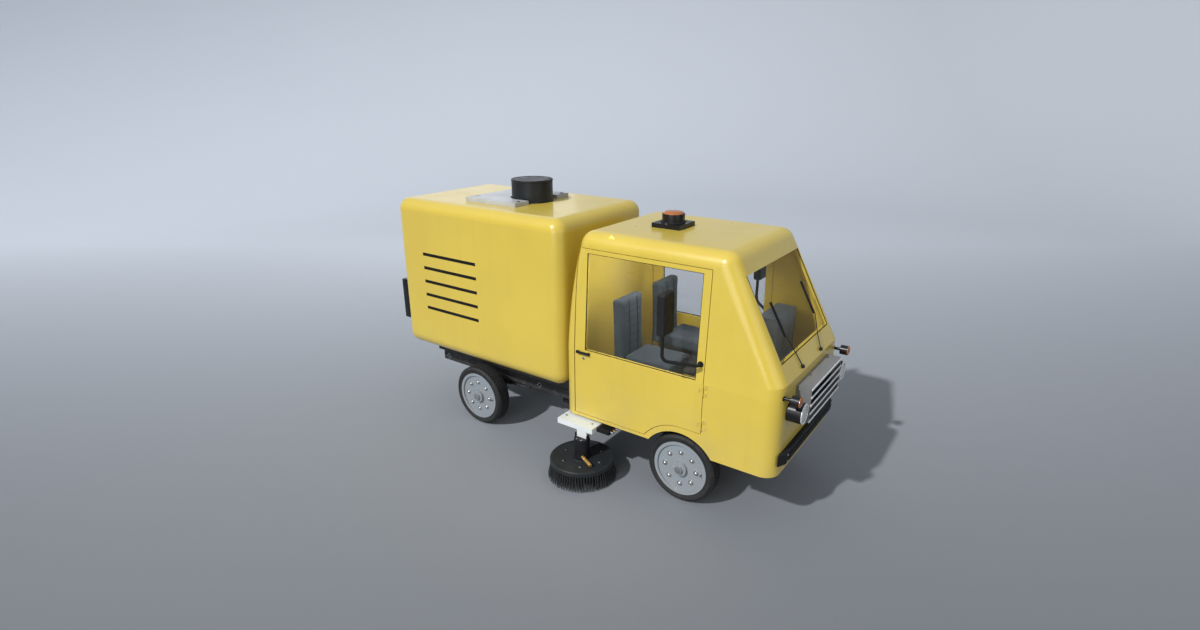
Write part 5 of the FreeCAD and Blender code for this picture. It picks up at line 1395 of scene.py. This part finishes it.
class SWEEPER_OT_seats(bpy.types.Operator):
    """Two padded seats, swollen from blanks by a short cloth simulation"""

    bl_idname = "sweeper.seats"
    bl_label = "Seats"

    def execute(self, context):
        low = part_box("seats")[0]
        crown = context.scene.sweeper_sizes.pad_crown
        y0 = low.y
        y1 = low.y + 0.430
        cushion = self.pad("cushion", ((0.629, 1.108), (1.143, 1.108), (1.143, 1.238), (0.629, 1.238)), y0, y1, crown)
        back = self.pad("backrest", ((0.506, 1.108), (0.604, 1.108), (0.584, 1.778), (0.486, 1.778)), y0, y1, crown)
        seat = Kit("chassis", "seat_fabric")
        for piece in (cushion, back):
            twin = add_object(piece.name.replace("right", "left"), piece.data.copy())
            twin.data.transform(Matrix.Diagonal((1, -1, 1, 1)))
            twin.data.flip_normals()
            for pad in (piece, twin):
                seat.settle(pad, replaces=("seats",) if pad is cushion else ())
        for side, sign in SIDES:
            self.piping(seat, side, sign, y0, y1)
        return {"FINISHED"}

    def pad(self, name, side, y0, y1, crown):
        """A blank, remeshed evenly and blown up a little, so that it crowns between its edges."""
        bm = bmesh.new()
        rims = []
        for shift in (0.010, y1 - y0 - 0.010):
            rims.append([bm.verts.new(Vector((x, y0, z)) + Y * shift) for x, z in side])
        bm.faces.new(reversed(rims[0]))
        bm.faces.new(rims[1])
        for index in range(4):
            after = (index + 1) % 4
            bm.faces.new((rims[0][index], rims[0][after], rims[1][after], rims[1][index]))
        blank = bevelled(from_bmesh(name + "_right", bm), 0.028, 4)
        remesh = blank.modifiers.new("Remesh", "REMESH")
        remesh.mode = "VOXEL"
        remesh.voxel_size = 0.009
        piece = applied(blank)
        self.swell(piece, crown)
        finer = piece.modifiers.new("Subdivision", "SUBSURF")
        finer.levels = 1
        finer.render_levels = 1
        return applied(piece)

    def swell(self, piece, most):
        """Twenty steps of cloth under pressure, with each point's move held to a limit and to the seat's plinth."""
        scene = bpy.context.scene
        before = [vertex.co.copy() for vertex in piece.data.vertices]
        cloth = piece.modifiers.new("Cloth", "CLOTH")
        cloth.settings.use_pressure = True
        cloth.settings.uniform_pressure_force = 4.0
        cloth.settings.effector_weights.gravity = 0.0
        cloth.point_cache.frame_start = 1
        cloth.point_cache.frame_end = 20
        for step in range(1, 21):
            scene.frame_set(step)
        piece = applied(piece)
        for vertex, start in zip(piece.data.vertices, before):
            move = vertex.co - start
            if move.length > most:
                vertex.co = start + move * (most / move.length)
            vertex.co.z = max(vertex.co.z, PLINTH_TOP_Z)
        scene.frame_set(1)

    def piping(self, seat, side, sign, y0, y1):
        """Cord sewn along the seams of the cushion's and the backrest's faces."""
        middle = sign * abs(y0 + y1) / 2
        half = (y1 - y0) / 2 - 0.020
        rows = (
            ("cushion", Vector((0.640, middle, 1.232)), Vector((1.132, middle, 1.232)), Z),
            ("backrest", Vector((0.615, middle, 1.130)), Vector((0.596, middle, 1.760)), X),
        )
        for name, start, end, bulge in rows:
            for index, shift in enumerate((-half * 0.36, half * 0.36)):
                points = []
                for t in range(9):
                    points.append(start.lerp(end, t / 8) + Y * shift + bulge * 0.010 * math.sin(math.pi * t / 8))
                seat.settle(tube("piping_%s_%s_%d" % (name, side, index), points, 0.0035, 3), "rubber")


class SWEEPER_OT_chassis(bpy.types.Operator):
    """Spring clamps, axle and rail bolts, ram fittings and the skirt of the suction mouth"""

    bl_idname = "sweeper.chassis"
    bl_label = "Chassis details"

    def execute(self, context):
        under = Kit("chassis", "chassis_paint")
        for end, x, radius in (("front", FRONT_AXLE_X, 0.030), ("rear", REAR_AXLE_X, 0.045)):
            for side, sign in SIDES:
                name = "%s_%s" % (end, side)
                self.clamps(under, name, x, sign * SPRING_Y, radius)
                self.clips(under, name, x, sign * SPRING_Y, radius)
        under.bolt_ring("differential_bolts", -X, (REAR_AXLE_X - 0.086, 0, AXLE_Z), 0.066, 8, 0.007)
        for side, sign in SIDES:
            for index, x in enumerate(CROSSMEMBER_X):
                place = (x, sign * 0.360, 0.4995)
                under.bolt_ring("rail_bolts_%s_%d" % (side, index), (0, sign, 0), place, 0.026, 4, 0.007)
        self.skirt()
        self.ram()
        self.engine()
        return {"FINISHED"}

    def clamps(self, under, name, x, y, radius):
        """Two U-bolts over the spring and under the axle, with a plate and nuts below."""
        reach = radius + 0.007
        top = AXLE_Z + 0.0295 + radius
        low = AXLE_Z - radius - 0.020
        half = 0.036
        for index, along in enumerate((x - reach, x + reach)):
            bends = ((-half, low), (-half, top - 0.012), (-0.026, top), (0.026, top), (half, top - 0.012), (half, low))
            points = [(along, y + across, z) for across, z in bends]
            under.settle(tube("clamp_%s_%d" % (name, index), points, 0.006, 3), "steel")
        plate = AXLE_Z - radius - 0.009
        wide = reach + 0.014
        under.slab("clamp_plate_" + name, (x - wide, x + wide), y, 0.050, (plate, plate + 0.009))
        for index, across in enumerate((y - half, y + half)):
            ends = ((x - reach, across, plate), (x + reach, across, plate))
            under.bolt_row("clamp_nuts_%s_%d" % (name, index), *ends, (0, 0, -1), 2, 0.0095)

    def clips(self, under, name, x, y, radius):
        """Straps that hold the spring's leaves together, two on each side of the axle."""
        for index, along in enumerate((-0.30, -0.17, 0.17, 0.30)):
            low = AXLE_Z + radius + 0.003 + self.bow(along, radius)
            xs = (x + along - 0.012, x + along + 0.012)
            under.slab("clip_%s_%d" % (name, index), xs, y, 0.034, (low - 0.006, low + 0.026))

    def bow(self, along, radius):
        """How far the spring rises above its seat at a distance from the axle."""
        eye_z = 0.425
        half_length = 0.45
        rise = eye_z - (AXLE_Z + radius + 0.003)
        arc = (half_length ** 2 + rise ** 2) / (2 * rise)
        return arc - math.sqrt(arc ** 2 - along ** 2)

    def skirt(self):
        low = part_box("suction_head")[0].z
        nozzle = Kit("chassis", "suction_paint")
        rear, front, half = -0.360, -0.070, 0.265
        corners = ((rear, -half), (front, -half), (front, half), (rear, half))
        outline = [Vector((x, y, low)) for x, y in corners]
        nozzle.settle(ring_strip("suction_skirt", outline, 0.008, 0.075, (0, 0, -1)), "rubber")
        z = low + 0.018
        for side, sign in SIDES:
            y = sign * (half + 0.005)
            nozzle.bolt_row("nozzle_bolts_" + side, (rear + 0.020, y, z), (front - 0.020, y, z), (0, sign, 0), 6, 0.005)
        band = mm((90.3, 0), (96, 0), (98, 2), (98, 18), (96, 20), (90.3, 20), (90.3, 0))
        for index, z in enumerate((0.500, 0.700)):
            nozzle.turned("duct_band_%d" % index, band, Z, ((rear + front) / 2, 0, z), "steel")

    def ram(self):
        reach = RAM_HEAD - RAM_FOOT
        along = reach.normalized()
        barrel = Kit("ram_barrel", "chassis_paint")
        ring = mm((16.5, 0), (30, 0), (32, 3), (32, 9), (28, 12), (16.5, 12), (16.5, 0))
        barrel.turned("ram_wiper", ring, along, RAM_FOOT + along * (reach.length - 0.070), "rubber")
        nut = mm((0, 0), (13.5, 0), (13.5, 12), (10, 14), (0, 14))
        for index, up in enumerate((0.090, reach.length - 0.170)):
            barrel.turned("ram_nut_%d" % index, nut, Y, RAM_FOOT + along * up + Y * 0.047, "steel", 6)

    def engine(self):
        low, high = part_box("engine_block")
        engine = Kit("chassis", "cast_metal")
        for side, sign in SIDES:
            start = (low.x + 0.05, sign * (high.y + 0.003), low.z + 0.055)
            engine.slats("engine_ribs_" + side, start, (0.041, 0, 0), 12, (0.008, 0.008, 0.09))
        corners = ((low.x + 0.06, low.y + 0.05, low.z - 0.030), (high.x - 0.10, high.y - 0.05, low.z + 0.002))
        engine.box("engine_sump", *corners, width=0.010)


class SWEEPER_OT_arms(bpy.types.Operator):
    """Pivot bolts, motor bolts, hose fittings and the brass fitting on the brush arms"""

    bl_idname = "sweeper.arms"
    bl_label = "Brush arm details"

    def execute(self, context):
        cap = mm((0, 0), (20, 0), (20, 6), (14, 10), (0, 10))
        for side, sign in SIDES:
            arm = Kit("brush_arm_" + side, "arm_paint")
            inner = sign * 0.560
            outer = sign * 0.800
            for name, x in (("arm_bolts_", 0.110), ("arm_plate_bolts_", 0.430)):
                arm.bolt_row(name + side, (x, inner, ARM_TOP_Z), (x, outer, ARM_TOP_Z), Z, 4, 0.009)
            pin = (0.265, sign * 0.420, 0.5515)
            Kit("chassis", "chassis_paint").turned("arm_pin_cap_" + side, cap, Z, pin, "steel", 6)
            self.motor(Kit("brush_arm_" + side, "motor_paint"), side, sign)
        return {"FINISHED"}

    def motor(self, motor, side, sign):
        centre = Vector((MOTOR[0], sign * MOTOR[1], 0))
        band = mm((75.2, 0), (79, 0), (80, 2), (80, 12), (79, 14), (75.2, 14), (75.2, 0))
        for index, z in enumerate((0.218, 0.385)):
            motor.turned("motor_band_%s_%d" % (side, index), band, Z, centre + Z * z, steps=64)
        motor.bolt_ring("motor_bolts_" + side, Z, centre + Z * 0.412, 0.060, 6, 0.006)
        start = Vector((0.405, sign * 0.935, 0.2325))
        end = Vector((0.566, sign * 1.020, 0.2325))
        reach = (end - start).length
        wide = 0.0175
        neck = 0.0145
        collar = [(0.0, 0.0), (wide, 0.0), (wide, reach * 0.30), (neck, reach * 0.32), (neck, reach * 0.38)]
        barrel = [(wide, reach * 0.40), (wide, reach - 0.012), (0.0165, reach - 0.008), (0.0140, reach - 0.006)]
        mouth = [(0.0140, reach), (0.0080, reach), (0.0080, reach - 0.02), (0.0, reach - 0.02)]
        motor.turned("brass_fitting_" + side, collar + barrel + mouth, end - start, start, "brass", 40)
        fitting = mm((0, 0), (12, 0), (12, 10), (8, 12), (8, 26), (0, 26))
        for index, (shift, metal) in enumerate(((-0.040, "steel"), (0.0, "brass"), (0.040, "steel"))):
            place = (0.638, sign * (0.740 + shift), 0.506)
            motor.turned("hose_fitting_%s_%d" % (side, index), fitting, X, place, metal, 24)


class SWEEPER_PT_panel(bpy.types.Panel):
    """Builds the truck piece by piece"""

    bl_idname = "SWEEPER_PT_panel"
    bl_label = "Street Sweeper Truck"
    bl_space_type = "VIEW_3D"
    bl_region_type = "UI"
    bl_category = "Sweeper"

    def draw(self, context):
        layout = self.layout
        for group in (context.scene.sweeper_paint, context.scene.sweeper_sizes):
            for label in group.bl_rna.properties.keys():
                if label not in ("rna_type", "name"):
                    layout.prop(group, label)
        for operator in OPERATORS:
            layout.operator(operator.bl_idname)


OPERATORS = (
    SWEEPER_OT_stage,
    SWEEPER_OT_finishes,
    SWEEPER_OT_tyres,
    SWEEPER_OT_wheels,
    SWEEPER_OT_brushes,
    SWEEPER_OT_glazing,
    SWEEPER_OT_doors,
    SWEEPER_OT_nose,
    SWEEPER_OT_hopper,
    SWEEPER_OT_cabin,
    SWEEPER_OT_seats,
    SWEEPER_OT_chassis,
    SWEEPER_OT_arms,
)
CLASSES = (SweeperPaint, SweeperSizes, *OPERATORS, SWEEPER_PT_panel)


def register():
    for item in CLASSES:
        bpy.utils.register_class(item)
    bpy.types.Scene.sweeper_paint = PointerProperty(type=SweeperPaint)
    bpy.types.Scene.sweeper_sizes = PointerProperty(type=SweeperSizes)


def unregister():
    del bpy.types.Scene.sweeper_paint
    del bpy.types.Scene.sweeper_sizes
    for item in reversed(CLASSES):
        bpy.utils.unregister_class(item)


def main():
    register()
    for operator in OPERATORS:
        group, name = operator.bl_idname.split(".")
        getattr(getattr(bpy.ops, group), name)()


if __name__ == "__main__":
    main()
